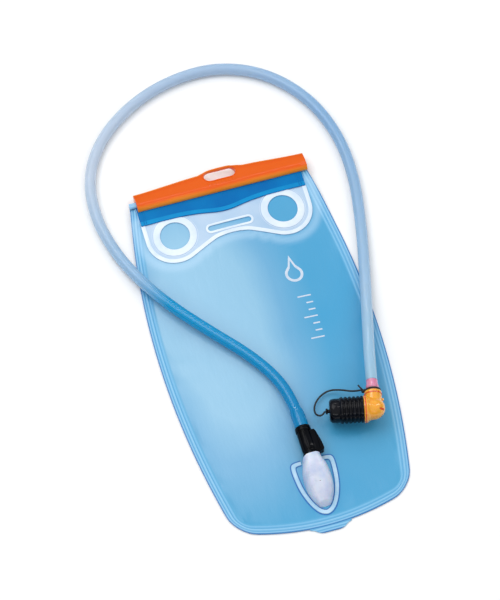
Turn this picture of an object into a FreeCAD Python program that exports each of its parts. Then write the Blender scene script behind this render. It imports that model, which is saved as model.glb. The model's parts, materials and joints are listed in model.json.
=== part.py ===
import FreeCAD, Part
import math
import os

V = FreeCAD.Vector

# Hydration bladder lying on its back, front film up. Millimetres, +X across, +Y to the mouth, +Z up.
# The origin is under the middle of the pouch, on the surface it lies on.

# ---- driving dimensions: pouch -------------------------------------------------------------------
POUCH_HALF_LENGTH = 181.5    # origin to the tip of the bottom tab, and to the top of the slider
POUCH_HALF_WIDTH = 96.0      # at the widest place
MOUTH_HALF_WIDTH = 79.6      # where the films enter the slider
WIDEST_Y = 5.0               # how far above the middle the pouch is widest
TAB_DEPTH = 5.5              # the little tab stands this far below the bottom edge
TAB_HALF_WIDTH = 14.5
TAB_X = 1.8                  # the tab sits a little off the middle
BOTTOM_BOW = 11.0            # the bottom edge bows down this far in the middle
CORNER_INSET = 29.0          # how far in from the widest place the rounded bottom corners end
FILM = 0.5                   # thickness of one film
WELD = 8.0                   # width of the flat weld round the edge
PUFF = 6.0                   # how far the front film stands off the back film
PUFF_END = 90.0              # length over which the pillow rises from the bottom weld
MOUTH_LIFT = 4.5             # height of the back film where it enters the slider
LIFT_LENGTH = 57.0           # the films start to rise this far below the slider

# ---- driving dimensions: slider and mouth --------------------------------------------------------
SLIDER_LEFT_INSET = 6.1      # the mouth's left end sticks out of the slider by this much
SLIDER_RIGHT_OVERHANG = 0.9
SLIDER_DEPTH = 17.5          # from lower to upper edge, at the ends
HUMP_DEPTH = 24.5            # from lower to upper edge, at the hump over the hang hole
SLIDER_HEIGHT = 12.0
SLIDER_TAB_HEIGHT = 5.0      # thickness at the upper edge of the hump
RIM_WIDTH = 2.4              # raised rims at both ends
RIM_RISE = 0.9
HANG_HOLE_X = 4.9
HANG_HOLE_UP = 16.9          # above the slider's lower edge
HANG_HOLE_LENGTH = 28.5
HANG_HOLE_WIDTH = 11.0
HUMP_LEFT = 18.8             # from the middle of the hang hole to where the hump starts, on each side
HUMP_RIGHT = 21.3
LIP_UP = 4.9                 # where the films meet the rolled fold, above the slider's lower edge
FOLD_DEPTH = 5.0             # rolled fold held inside the slider
FOLD_HEIGHT = 6.6
RAIL_RADIUS = 0.9            # stiffening rods in the fold
FOLD_CLEARANCE = 0.3         # slider to fold and slider to films

# ---- driving dimensions: hang panel and folded mouth flap ----------------------------------------
PANEL = 0.6                  # thickness
PANEL_INSET = 4.8            # from the mouth's ends to the panel's sides
LOBE_RADIUS = 26.0           # rounded lobes round the finger holes
LOBE_DOWN = 30.0             # from the slider's lower edge to the finger holes
FINGER_HOLE_RADIUS = 13.1
SLOT_DOWN = 32.6
SLOT_LENGTH = 39.0
SLOT_WIDTH = 5.4
BRIDGE_DOWN = 41.5           # to the panel's lower edge between its two lobes
FLAP = 1.2                   # thickness of the folded mouth, three plies
FLAP_INSET = 5.1             # from the mouth's ends to the flap's sides
FLAP_DOWN = 13.5             # how far the flap hangs below the slider
FLAP_DIP = 6.0               # the flap's lower edge dips this far in the middle
LAYER_GAP = 0.1              # between loose layers

# ---- driving dimensions: outlet ------------------------------------------------------------------
OUTLET_X = 2.5
OUTLET_Z = 15.0              # height of the outlet's axis
OUTLET_UP = 65.5             # from the tip of the bottom tab to the outlet's mouth
OUTLET_LENGTH = 43.0
OUTLET_HALF_WIDTH = 12.0
OUTLET_MOUTH_HALF_WIDTH = 7.9
RING_BAND = 4.4              # width of the weld band round the outlet
RING_OFFSET = 2.2            # clear film between outlet and weld band
RING_HEIGHT = 0.8
BODY_RADIUS = 6.6            # connector body
BODY_SEAT = 4.0              # how deep the body sits in the outlet's mouth
SPIGOT_RADIUS = 4.75
SPIGOT_LENGTH = 8.0          # beyond the body
NOSE_RADIUS = 2.4            # pushes the valve open
NOSE_LENGTH = 5.0
WATER_RADIUS = 1.5           # bore through the connector
THROAT_RADIUS = 3.1
THROAT_LENGTH = 2.4
CHAMBER_RADIUS = 4.3
CHAMBER_LENGTH = 12.0
SHAFT_CLEARANCE = 0.1        # running fit, on the radius
END_GAP = 0.3                # between faces that stop short of each other
CONNECTOR_LENGTH = 28.0      # collar face to outlet mouth
COLLAR_RADIUS = 6.9
COLLAR_LENGTH = 4.0
BUTTON_Z = 7.2               # height of the release button
BUTTON_REACH = 12.3          # outer face of the button, from the connector's axis
BUTTON_TRAVEL = 1.8
BUTTON_LENGTH = 20.0
HOUSING_REACH = 9.0          # outer face of the button's housing
HOUSING_WALL = 1.1

# ---- driving dimensions: tube and bite valve -----------------------------------------------------
TUBE_RADIUS = 5.0
TUBE_BORE = 3.25
BARB_LENGTH = 16.0           # how far each barb reaches into the tube
VALVE_X = 65.8               # where the tube's axis meets the mouthpiece's axis
VALVE_Y = -89.9
VALVE_Z = 19.6
VALVE_TURN = 12.3            # degrees, the mouthpiece axis from -X towards +Y
NECK_END = 27.0              # valve centre to the end of the tube
SLEEVE_END = 15.6            # valve centre to the end of the elbow's sleeve
SLEEVE_RADIUS = 7.6
ELBOW_RADIUS = 9.6
FLANGE_RADIUS = 12.1
FLANGE_START = 5.6
FLANGE_END = 9.0
STEM_RADIUS = 5.0            # valve barb inside the elbow
COLLAR_NECK_RADIUS = 5.6
CORE_RADIUS = 4.8            # twist core inside the elbow
BITE_RADIUS = 7.2
BITE_END = 32.0
CAP_START = 9.3
CAP_RADIUS = 11.6
CAP_RIB_DEPTH = 0.8
CAP_RIBS = 6
CAP_RIBBED_END = 29.5
CAP_NOSE_RADIUS = 10.5
CAP_NOSE_END = 38.4
CAP_NUB_END = 41.6
CAP_NUB_RADIUS = 2.6
CAP_WALL = 2.2
TETHER_RADIUS = 0.8
LOOP_RADIUS = 6.7            # tether's loop round the valve neck

FLOOR_TUBE_Z = 5.05
OUTLET_MOUTH_Y = -POUCH_HALF_LENGTH + OUTLET_UP
# Route of the drink tube's corners, from the connector to the valve.
TUBE_ROUTE = [
    (OUTLET_X, OUTLET_MOUTH_Y + CONNECTOR_LENGTH, OUTLET_Z),
    (OUTLET_X, -68, OUTLET_Z),
    (-3, -38, 13.6),
    (-20, -8, 12.9),
    (-44, 21, 12.8),
    (-70, 55, 11.5),
    (-89, 89, 7.4),
    (-103, 124, FLOOR_TUBE_Z),
    (-110.5, 163, FLOOR_TUBE_Z),
    (-106.5, 203, FLOOR_TUBE_Z),
    (-86, 238, FLOOR_TUBE_Z),
    (-51, 265, FLOOR_TUBE_Z),
    (-10, 280, FLOOR_TUBE_Z),
    (34, 281.5, FLOOR_TUBE_Z),
    (74, 263, FLOOR_TUBE_Z),
    (103, 228, FLOOR_TUBE_Z),
    (117, 185, FLOOR_TUBE_Z),
    (118, 141, FLOOR_TUBE_Z),
    (110.5, 96, 5.2),
    (101, 54, 6.6),
    (90.5, 13, 9.8),
    (81.5, -21, 16.5),
    (76.3, -41.7, VALVE_Z),
]
# Route of the cap's tether, from the loop on the valve neck to the cap's nub.
TETHER_ROUTE = [
    (61.2, -68.6, 17.0),
    (54.5, -66.5, 13.5),
    (46, -60.5, 10.4),
    (36, -57.2, 9.4),
    (26.5, -60.5, 9.6),
    (19.0, -68.5, 11.5),
    (16.6, -77.5, 14.5),
    (20.0, -83.2, 18.6),
]

# ---- values worked out from these ----------------------------------------------------------------
BOTTOM_Y = -POUCH_HALF_LENGTH + TAB_DEPTH
SLIDER_FOOT_Y = POUCH_HALF_LENGTH - HUMP_DEPTH
SLIDER_LEFT = -MOUTH_HALF_WIDTH + SLIDER_LEFT_INSET
SLIDER_RIGHT = MOUTH_HALF_WIDTH + SLIDER_RIGHT_OVERHANG
SLIDER_LENGTH = SLIDER_RIGHT - SLIDER_LEFT
HANG_HOLE_Y = SLIDER_FOOT_Y + HANG_HOLE_UP
LIP_Y = SLIDER_FOOT_Y + LIP_UP
LIFT_START = SLIDER_FOOT_Y - LIFT_LENGTH
PANEL_HALF_WIDTH = MOUTH_HALF_WIDTH - PANEL_INSET
LOBE_X = PANEL_HALF_WIDTH - LOBE_RADIUS
LOBE_Y = SLIDER_FOOT_Y - LOBE_DOWN
SLOT_Y = SLIDER_FOOT_Y - SLOT_DOWN
BRIDGE_Y = SLIDER_FOOT_Y - BRIDGE_DOWN
FLAP_HALF_WIDTH = MOUTH_HALF_WIDTH - FLAP_INSET
FLAP_EDGE_Y = SLIDER_FOOT_Y - FLAP_DOWN
SIDE_BOW = (POUCH_HALF_WIDTH - MOUTH_HALF_WIDTH) / (LIP_Y - WIDEST_Y) ** 2
STACK_TOP = MOUTH_LIFT + 2 * FILM + PANEL + FLAP + 2 * LAYER_GAP
OUTWARD = V(0, 1, 0)
VALVE = V(VALVE_X, VALVE_Y, VALVE_Z)
TURN = math.radians(VALVE_TURN)
CAP_WAY = V(-math.cos(TURN), math.sin(TURN), 0)
TUBE_WAY = V(math.sin(TURN), math.cos(TURN), 0)
TUBE_ROUTE.append(tuple(VALVE + TUBE_WAY * NECK_END))


# ---- helpers -------------------------------------------------------------------------------------
def save(name, shape):
    if not shape.isValid():
        raise ValueError(name + " is not a valid shape")
    print(f"{name:18s} solids {len(shape.Solids)}  volume {shape.Volume:10.1f}")
    shape.exportStep("parts/" + name + ".step")


def placed(shape, base, way):
    """Turn a shape made along +Z to point along way, and move it to base."""
    shape.Placement = FreeCAD.Placement(base, FreeCAD.Rotation(V(0, 0, 1), way))
    return shape


def turned(section, base, way):
    """Solid of revolution. section lists (distance along the axis, radius) round a half section."""
    corners = [V(radius, 0, along) for along, radius in section]
    wire = Part.makePolygon(corners + corners[:1])
    return placed(Part.Face(wire).revolve(V(0, 0, 0), V(0, 0, 1), 360), base, way)


def cylinder(radius, start, end, base, way):
    return Part.makeCylinder(radius, end - start, base + way * start, way)


def box(low, high):
    return Part.makeBox(high[0] - low[0], high[1] - low[1], high[2] - low[2], V(*low))


def line(a, b):
    return Part.LineSegment(V(*a), V(*b)).toShape()


def arc(a, b, c):
    return Part.Arc(V(*a), V(*b), V(*c)).toShape()


def prism(edges, height):
    return Part.Face(Part.Wire(edges)).extrude(V(0, 0, height))


def spring(coil_radius, wire_radius, length, turns, base, way):
    """Compression coil along way, its ends inside the given length."""
    height = length - 2 * wire_radius
    helix = Part.makeHelix(height / turns, height, coil_radius)
    section = Part.Wire(Part.makeCircle(wire_radius, V(coil_radius, 0, 0), V(0, 1, 0)))
    coil = Part.Wire(helix.Edges).makePipeShell([section], True, True)
    return placed(coil, base + way * wire_radius, way)


def rounded_path(points, label):
    """Straight runs joined by tangent arcs, each as large as its two runs allow."""
    points = [V(*p) for p in points]
    edges = []
    start = points[0]
    radii = []
    for before, here, after in zip(points, points[1:], points[2:]):
        back = (before - here).normalize()
        ahead = (after - here).normalize()
        turn = math.pi - back.getAngle(ahead)
        setback = 0.45 * min((before - here).Length, (after - here).Length)
        radius = setback / math.tan(turn / 2)
        middle = (back + ahead).normalize()
        rise = radius / math.cos(turn / 2) - radius
        edges.append(Part.LineSegment(start, here + back * setback).toShape())
        arc_end = here + ahead * setback
        edges.append(Part.Arc(here + back * setback, here + middle * rise, arc_end).toShape())
        start = arc_end
        radii.append(round(radius, 1))
    edges.append(Part.LineSegment(start, points[-1]).toShape())
    print(label, "radii", radii)
    return Part.Wire(edges)


def swept(path, radius):
    first = path.Edges[0]
    section = Part.makeCircle(radius, first.Vertexes[0].Point, first.tangentAt(first.FirstParameter))
    return path.makePipeShell([Part.Wire(section)], True, False)


def smoothstep(t):
    t = max(0.0, min(1.0, t))
    return t * t * (3 - 2 * t)


def half_width(y):
    return POUCH_HALF_WIDTH - SIDE_BOW * (y - WIDEST_Y) ** 2


def lift(y):
    """Height of the back film: on the floor, rising to the slider at the mouth."""
    return MOUTH_LIFT * smoothstep((y - LIFT_START) / (SLIDER_FOOT_Y - LIFT_START))


def pillow(x, y):
    """How far the front film stands off the back film."""
    across = min(1.0, abs(x) / (half_width(y) - WELD))
    up = max(0.0, min(1.0, (y - BOTTOM_Y - WELD) / PUFF_END))
    mouth = 1 - smoothstep((y - LIFT_START) / (SLIDER_FOOT_Y - LIFT_START))
    return PUFF * (1 - across ** 2) ** 1.5 * (1 - (1 - up) ** 2) ** 1.5 * mouth


def film_slab(height_at, thickness, columns, rows):
    """Sheet of even thickness over the whole pouch, following height_at(x, y)."""
    reach = POUCH_HALF_WIDTH + 4
    low = -POUCH_HALF_LENGTH - 4
    high = LIP_Y + 4
    grid = []
    for i in range(columns + 1):
        x = -reach + 2 * reach * i / columns
        row = []
        for j in range(rows + 1):
            y = low + (high - low) * j / rows
            row.append(V(x, y, height_at(x, y)))
        grid.append(row)
    surface = Part.BSplineSurface()
    surface.interpolate(grid)
    return surface.toShape().extrude(V(0, 0, thickness))


# ---- outlines ------------------------------------------------------------------------------------
def pouch_outline():
    side_x = POUCH_HALF_WIDTH - CORNER_INSET
    side_y = BOTTOM_Y + BOTTOM_BOW
    bend_y = side_y + 27
    mid_y = side_y + 10
    mid_x = half_width(mid_y) - 2.2
    bend_x = half_width(bend_y)
    mouth_x = half_width(LIP_Y)
    tab_y = -POUCH_HALF_LENGTH
    bow = BOTTOM_BOW / side_x ** 2
    part_way = 0.67 * side_x

    def bottom(x):
        return BOTTOM_Y + bow * x * x

    tab_left = TAB_X - TAB_HALF_WIDTH
    tab_right = TAB_X + TAB_HALF_WIDTH
    edges = [
        line((-mouth_x, LIP_Y, 0), (mouth_x, LIP_Y, 0)),
        arc((mouth_x, LIP_Y, 0), (half_width(WIDEST_Y), WIDEST_Y, 0), (bend_x, bend_y, 0)),
        arc((bend_x, bend_y, 0), (mid_x, mid_y, 0), (side_x, side_y, 0)),
        arc((side_x, side_y, 0), (part_way, bottom(part_way), 0), (tab_right, bottom(tab_right), 0)),
        line((tab_right, bottom(tab_right), 0), (tab_right - 5, tab_y, 0)),
        line((tab_right - 5, tab_y, 0), (tab_left + 5, tab_y, 0)),
        line((tab_left + 5, tab_y, 0), (tab_left, bottom(tab_left), 0)),
        arc((tab_left, bottom(tab_left), 0), (-part_way, bottom(part_way), 0), (-side_x, side_y, 0)),
        arc((-side_x, side_y, 0), (-mid_x, mid_y, 0), (-bend_x, bend_y, 0)),
        arc((-bend_x, bend_y, 0), (-half_width(WIDEST_Y), WIDEST_Y, 0), (-mouth_x, LIP_Y, 0)),
    ]
    return edges


def panel_outline():
    lobe = LOBE_RADIUS
    diagonal = lobe * math.sqrt(0.5)
    steep = lobe * math.cos(math.radians(67.5))
    shallow = lobe * math.sin(math.radians(67.5))
    edges = []
    for side in (-1, 1):
        outer = (side * PANEL_HALF_WIDTH, LOBE_Y, 0)
        corner = (side * (LOBE_X + diagonal), LOBE_Y - diagonal, 0)
        foot = (side * LOBE_X, LOBE_Y - lobe, 0)
        inner_mid = (side * (LOBE_X - steep), LOBE_Y - shallow, 0)
        inner = (side * (LOBE_X - diagonal), LOBE_Y - diagonal, 0)
        edges.append(line((side * PANEL_HALF_WIDTH, LIP_Y, 0), outer))
        edges.append(arc(outer, corner, foot))
        edges.append(arc(foot, inner_mid, inner))
    inner_x = LOBE_X - diagonal
    inner_y = LOBE_Y - diagonal
    edges.append(arc((-inner_x, inner_y, 0), (0, BRIDGE_Y, 0), (inner_x, inner_y, 0)))
    edges.append(line((-PANEL_HALF_WIDTH, LIP_Y, 0), (PANEL_HALF_WIDTH, LIP_Y, 0)))
    return Part.__sortEdges__(edges)


def flap_outline():
    wave = Part.BSplineCurve()
    third = FLAP_HALF_WIDTH / 3
    wave.interpolate([
        V(-FLAP_HALF_WIDTH, FLAP_EDGE_Y, 0),
        V(-third, FLAP_EDGE_Y - FLAP_DIP / 6, 0),
        V(0, FLAP_EDGE_Y - FLAP_DIP, 0),
        V(third, FLAP_EDGE_Y - FLAP_DIP / 6, 0),
        V(FLAP_HALF_WIDTH, FLAP_EDGE_Y, 0),
    ])
    left_top = (-FLAP_HALF_WIDTH, LIP_Y, 0)
    right_top = (FLAP_HALF_WIDTH, LIP_Y, 0)
    return [
        line(left_top, right_top),
        line(right_top, (FLAP_HALF_WIDTH, FLAP_EDGE_Y, 0)),
        wave.toShape(),
        line((-FLAP_HALF_WIDTH, FLAP_EDGE_Y, 0), left_top),
    ]


def outlet_outline(grow):
    """Teardrop seen from above: narrow mouth, wide shoulders, rounded tip."""
    mouth = OUTLET_MOUTH_HALF_WIDTH + grow
    wide = OUTLET_HALF_WIDTH + grow
    top = OUTLET_MOUTH_Y + grow
    shoulder = OUTLET_MOUTH_Y - 10
    tip = OUTLET_MOUTH_Y - OUTLET_LENGTH - grow
    cheek = OUTLET_MOUTH_Y - 0.68 * OUTLET_LENGTH
    cheek_half = 0.8 * wide
    bulge = 1.13 * cheek_half
    bulge_y = (shoulder + cheek) / 2
    chin = tip + 0.35 * wide
    chin_half = 0.42 * wide
    cx = OUTLET_X
    return [
        line((cx - mouth, top, 0), (cx + mouth, top, 0)),
        line((cx + mouth, top, 0), (cx + mouth, OUTLET_MOUTH_Y - 4.5, 0)),
        line((cx + mouth, OUTLET_MOUTH_Y - 4.5, 0), (cx + wide, shoulder, 0)),
        arc((cx + wide, shoulder, 0), (cx + bulge, bulge_y, 0), (cx + cheek_half, cheek, 0)),
        line((cx + cheek_half, cheek, 0), (cx + chin_half, chin, 0)),
        arc((cx + chin_half, chin, 0), (cx, tip, 0), (cx - chin_half, chin, 0)),
        line((cx - chin_half, chin, 0), (cx - cheek_half, cheek, 0)),
        arc((cx - cheek_half, cheek, 0), (cx - bulge, bulge_y, 0), (cx - wide, shoulder, 0)),
        line((cx - wide, shoulder, 0), (cx - mouth, OUTLET_MOUTH_Y - 4.5, 0)),
        line((cx - mouth, OUTLET_MOUTH_Y - 4.5, 0), (cx - mouth, top, 0)),
    ]


# ---- pouch ---------------------------------------------------------------------------------------
def pouch_films():
    outline = prism(pouch_outline(), 30)
    back = film_slab(lambda x, y: lift(y), FILM, 12, 72).common(outline)
    front = film_slab(lambda x, y: lift(y) + FILM + pillow(x, y), FILM, 48, 72).common(outline)
    return back, front.cut(prism(outlet_outline(0), 30))


def loose_layer(edges, below, thickness):
    """A sheet lying on the front film, above layers that add up to below."""
    slab = film_slab(lambda x, y: lift(y) + 2 * FILM + pillow(x, y) + below, thickness, 48, 72)
    return slab.common(prism(edges, 30))


def hang_panel():
    panel = loose_layer(panel_outline(), LAYER_GAP, PANEL)
    for side in (-1, 1):
        panel = panel.cut(Part.makeCylinder(FINGER_HOLE_RADIUS, 30, V(side * LOBE_X, LOBE_Y, 0)))
    half = (SLOT_LENGTH - SLOT_WIDTH) / 2
    radius = SLOT_WIDTH / 2
    slot = [
        line((-half, SLOT_Y - radius, 0), (half, SLOT_Y - radius, 0)),
        arc((half, SLOT_Y - radius, 0), (half + radius, SLOT_Y, 0), (half, SLOT_Y + radius, 0)),
        line((half, SLOT_Y + radius, 0), (-half, SLOT_Y + radius, 0)),
        arc((-half, SLOT_Y + radius, 0), (-half - radius, SLOT_Y, 0), (-half, SLOT_Y - radius, 0)),
    ]
    return panel.cut(prism(slot, 30))


def fold_and_rails():
    """The rolled mouth inside the slider, with its two stiffening rods."""
    low_z = SLIDER_HEIGHT / 2 - FOLD_HEIGHT / 2
    high_corner = (MOUTH_HALF_WIDTH, LIP_Y + FOLD_DEPTH, low_z + FOLD_HEIGHT)
    fold = box((-MOUTH_HALF_WIDTH, LIP_Y, low_z), high_corner)
    along = [e for e in fold.Edges if abs(e.tangentAt(e.FirstParameter).x) > 0.9]
    fold = fold.makeFillet(1.4, along)
    rails = []
    for share in (0.27, 0.73):
        centre = V(-MOUTH_HALF_WIDTH, LIP_Y + FOLD_DEPTH / 2, low_z + share * FOLD_HEIGHT)
        rail = Part.makeCylinder(RAIL_RADIUS, 2 * MOUTH_HALF_WIDTH, centre, V(1, 0, 0))
        fold = fold.cut(rail)
        rails.append(rail)
    return fold, rails


def slider_clip():
    """Clip that closes the mouth: a rounded bar with a slot along its lower edge and a hang hole."""
    foot = SLIDER_FOOT_Y
    end_y = foot + SLIDER_DEPTH
    top_y = foot + HUMP_DEPTH
    middle_z = SLIDER_HEIGHT / 2
    hump_start = HANG_HOLE_X - HUMP_LEFT
    hump_end = HANG_HOLE_X + HUMP_RIGHT
    hump_foot = end_y + 0.6 * (top_y - end_y)
    plan = [
        line((SLIDER_LEFT, foot, 0), (SLIDER_RIGHT, foot, 0)),
        line((SLIDER_RIGHT, foot, 0), (SLIDER_RIGHT, end_y, 0)),
        line((SLIDER_RIGHT, end_y, 0), (hump_end, hump_foot, 0)),
        arc((hump_end, hump_foot, 0), (HANG_HOLE_X + 4, top_y, 0), (hump_start, hump_foot, 0)),
        line((hump_start, hump_foot, 0), (SLIDER_LEFT, end_y, 0)),
        line((SLIDER_LEFT, end_y, 0), (SLIDER_LEFT, foot, 0)),
    ]
    half_tab = SLIDER_TAB_HEIGHT / 2
    waist = foot + 0.55 * SLIDER_DEPTH
    side = Part.Wire([
        arc((0, foot + 4.5, 0), (0, foot + 0.6, 3.0), (0, foot, middle_z)),
        arc((0, foot, middle_z), (0, foot + 0.6, 2 * middle_z - 3.0), (0, foot + 4.5, 2 * middle_z)),
        line((0, foot + 4.5, 2 * middle_z), (0, waist, 2 * middle_z)),
        line((0, waist, 2 * middle_z), (0, top_y, middle_z + half_tab)),
        line((0, top_y, middle_z + half_tab), (0, top_y, middle_z - half_tab)),
        line((0, top_y, middle_z - half_tab), (0, waist, 0)),
        line((0, waist, 0), (0, foot + 4.5, 0)),
    ])
    bar = Part.Face(side).extrude(V(SLIDER_LENGTH, 0, 0))
    bar.translate(V(SLIDER_LEFT, 0, 0))
    clip = bar.common(prism(plan, SLIDER_HEIGHT))
    # raised rims round the upper side of both ends
    for start in (SLIDER_LEFT, SLIDER_RIGHT - RIM_WIDTH):
        rim_high = (start + RIM_WIDTH, end_y, SLIDER_HEIGHT + RIM_RISE)
        rim = box((start, foot + 3, SLIDER_HEIGHT - 3), rim_high)
        clip = clip.fuse(rim)
    gap = FOLD_CLEARANCE
    fold_low = middle_z - FOLD_HEIGHT / 2 - gap
    fold_high = middle_z + FOLD_HEIGHT / 2 + gap
    start_x = SLIDER_LEFT - 1
    stop_x = SLIDER_RIGHT + 1
    clip = clip.cut(box((start_x, foot - 1, MOUTH_LIFT - gap), (stop_x, LIP_Y + 1, STACK_TOP + gap)))
    clip = clip.cut(box((start_x, LIP_Y - gap, fold_low), (stop_x, LIP_Y + FOLD_DEPTH + gap, fold_high)))
    half = (HANG_HOLE_LENGTH - HANG_HOLE_WIDTH) / 2
    for shift in (-half, half):
        hole = Part.makeCylinder(HANG_HOLE_WIDTH / 2, 40, V(HANG_HOLE_X + shift, HANG_HOLE_Y, -10))
        clip = clip.cut(hole)
    low = (HANG_HOLE_X - half, HANG_HOLE_Y - HANG_HOLE_WIDTH / 2, -10)
    high = (HANG_HOLE_X + half, HANG_HOLE_Y + HANG_HOLE_WIDTH / 2, 30)
    return clip.cut(box(low, high)).removeSplitter()


# ---- outlet --------------------------------------------------------------------------------------
def outlet_origin():
    return V(OUTLET_X, OUTLET_MOUTH_Y, OUTLET_Z)


def outlet_fitting():
    """Welded pod with the socket for the connector and a chamber for the shut-off valve."""
    base_z = FILM + LAYER_GAP
    tip_y = OUTLET_MOUTH_Y - OUTLET_LENGTH
    roof_z = OUTLET_Z + OUTLET_MOUTH_HALF_WIDTH
    plan = prism(outlet_outline(0), 40)
    side = Part.Wire([
        line((0, OUTLET_MOUTH_Y, base_z), (0, OUTLET_MOUTH_Y, roof_z)),
        arc((0, OUTLET_MOUTH_Y, roof_z), (0, OUTLET_MOUTH_Y - 26, roof_z - 2.2), (0, tip_y, 7.0)),
        line((0, tip_y, 7.0), (0, tip_y, base_z)),
        line((0, tip_y, base_z), (0, OUTLET_MOUTH_Y, base_z)),
    ])
    side_body = Part.Face(side).extrude(V(2 * OUTLET_HALF_WIDTH, 0, 0))
    side_body.translate(V(OUTLET_X - OUTLET_HALF_WIDTH, 0, 0))
    left = OUTLET_X - OUTLET_HALF_WIDTH
    right = OUTLET_X + OUTLET_HALF_WIDTH
    spring_z = roof_z - 11
    front = Part.Wire([
        line((left, 0, base_z), (right, 0, base_z)),
        line((right, 0, base_z), (right, 0, spring_z)),
        arc((right, 0, spring_z), (OUTLET_X, 0, roof_z), (left, 0, spring_z)),
        line((left, 0, spring_z), (left, 0, base_z)),
    ])
    front_body = Part.Face(front).extrude(V(0, OUTLET_LENGTH, 0))
    front_body.translate(V(0, tip_y, 0))
    pod = plan.common(side_body).common(front_body)
    origin = outlet_origin()
    inward = V(0, -1, 0)
    bore_end = BODY_SEAT + SPIGOT_LENGTH + END_GAP
    throat_end = bore_end + THROAT_LENGTH
    chamber_end = throat_end + CHAMBER_LENGTH
    pod = pod.cut(cylinder(BODY_RADIUS + SHAFT_CLEARANCE, -1, BODY_SEAT + END_GAP, origin, inward))
    pod = pod.cut(cylinder(SPIGOT_RADIUS + SHAFT_CLEARANCE, 0, bore_end, origin, inward))
    pod = pod.cut(cylinder(THROAT_RADIUS, 0, throat_end, origin, inward))
    pod = pod.cut(cylinder(CHAMBER_RADIUS, throat_end, chamber_end, origin, inward))
    # way from the pouch up into the chamber
    inlet = V(OUTLET_X, OUTLET_MOUTH_Y - throat_end - 6, base_z - 1)
    return pod.cut(Part.makeCylinder(2.6, OUTLET_Z - base_z, inlet))


def outlet_weld_ring():
    outer = prism(outlet_outline(RING_OFFSET + RING_BAND), 30)
    inner = prism(outlet_outline(RING_OFFSET), 30)
    band = film_slab(lambda x, y: lift(y) + 2 * FILM + pillow(x, y) + LAYER_GAP, RING_HEIGHT, 48, 72)
    # the band stays open under the connector
    gate_low = (OUTLET_X - OUTLET_MOUTH_HALF_WIDTH, OUTLET_MOUTH_Y, -1)
    gate_high = (OUTLET_X + OUTLET_MOUTH_HALF_WIDTH, OUTLET_MOUTH_Y + 12, 30)
    return band.common(outer.cut(inner)).cut(box(gate_low, gate_high))


def shutoff_valve():
    """Valve disc with its stem, the seal on its face, and the spring behind it."""
    face = BODY_SEAT + SPIGOT_LENGTH + NOSE_LENGTH + END_GAP
    throat_end = BODY_SEAT + SPIGOT_LENGTH + END_GAP + THROAT_LENGTH
    chamber_end = throat_end + CHAMBER_LENGTH
    origin = outlet_origin()
    inward = V(0, -1, 0)
    disc_radius = CHAMBER_RADIUS - 2 * SHAFT_CLEARANCE
    hub = 2.3
    seal_back = face + 0.8
    disc_back = face + 2.2
    stem = 1.3
    stem_end = face + 6
    disc = turned([
        (face, 0), (face, hub), (seal_back, hub), (seal_back, disc_radius),
        (disc_back, disc_radius), (disc_back, stem), (stem_end, stem), (stem_end, 0),
    ], origin, inward)
    seal = turned([
        (face, hub), (face, disc_radius), (seal_back, disc_radius), (seal_back, hub),
    ], origin, inward)
    start = disc_back
    coil = spring(2.6, 0.35, chamber_end - start, 5, origin + inward * start, inward)
    return disc, seal, coil


# ---- connector -----------------------------------------------------------------------------------
def connector_body():
    origin = outlet_origin()
    outward = OUTWARD
    seat = -BODY_SEAT
    spigot = seat - SPIGOT_LENGTH
    nose = spigot - NOSE_LENGTH
    groove = spigot + SPIGOT_LENGTH / 2 - 1
    body = turned([
        (nose, 0), (nose, NOSE_RADIUS), (spigot, NOSE_RADIUS),
        (spigot, SPIGOT_RADIUS), (groove, SPIGOT_RADIUS), (groove, SPIGOT_RADIUS - 1.1),
        (groove + 2, SPIGOT_RADIUS - 1.1), (groove + 2, SPIGOT_RADIUS), (seat, SPIGOT_RADIUS),
        (seat, BODY_RADIUS), (CONNECTOR_LENGTH - COLLAR_LENGTH, BODY_RADIUS),
        (CONNECTOR_LENGTH - COLLAR_LENGTH, COLLAR_RADIUS), (CONNECTOR_LENGTH, COLLAR_RADIUS),
        (CONNECTOR_LENGTH, 0),
    ], origin, outward)
    low_y = OUTLET_MOUTH_Y + END_GAP + 0.2
    high_y = low_y + BUTTON_LENGTH + 2 * HOUSING_WALL
    half = BUTTON_Z / 2 + HOUSING_WALL
    housing = box((OUTLET_X, low_y, OUTLET_Z - half), (OUTLET_X + HOUSING_REACH, high_y, OUTLET_Z + half))
    body = body.fuse(housing)
    pocket_low = (OUTLET_X + BODY_RADIUS - 2, low_y + HOUSING_WALL, OUTLET_Z - BUTTON_Z / 2)
    pocket_high = (OUTLET_X + HOUSING_REACH + 1, high_y - HOUSING_WALL, OUTLET_Z + BUTTON_Z / 2)
    body = body.cut(box(pocket_low, pocket_high))
    body = body.cut(cylinder(WATER_RADIUS, nose - 1, 8, origin, outward))
    # socket for the hose barb
    return body.cut(cylinder(TUBE_BORE + 0.6, 8, CONNECTOR_LENGTH + 1, origin, outward)).removeSplitter()


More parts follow.
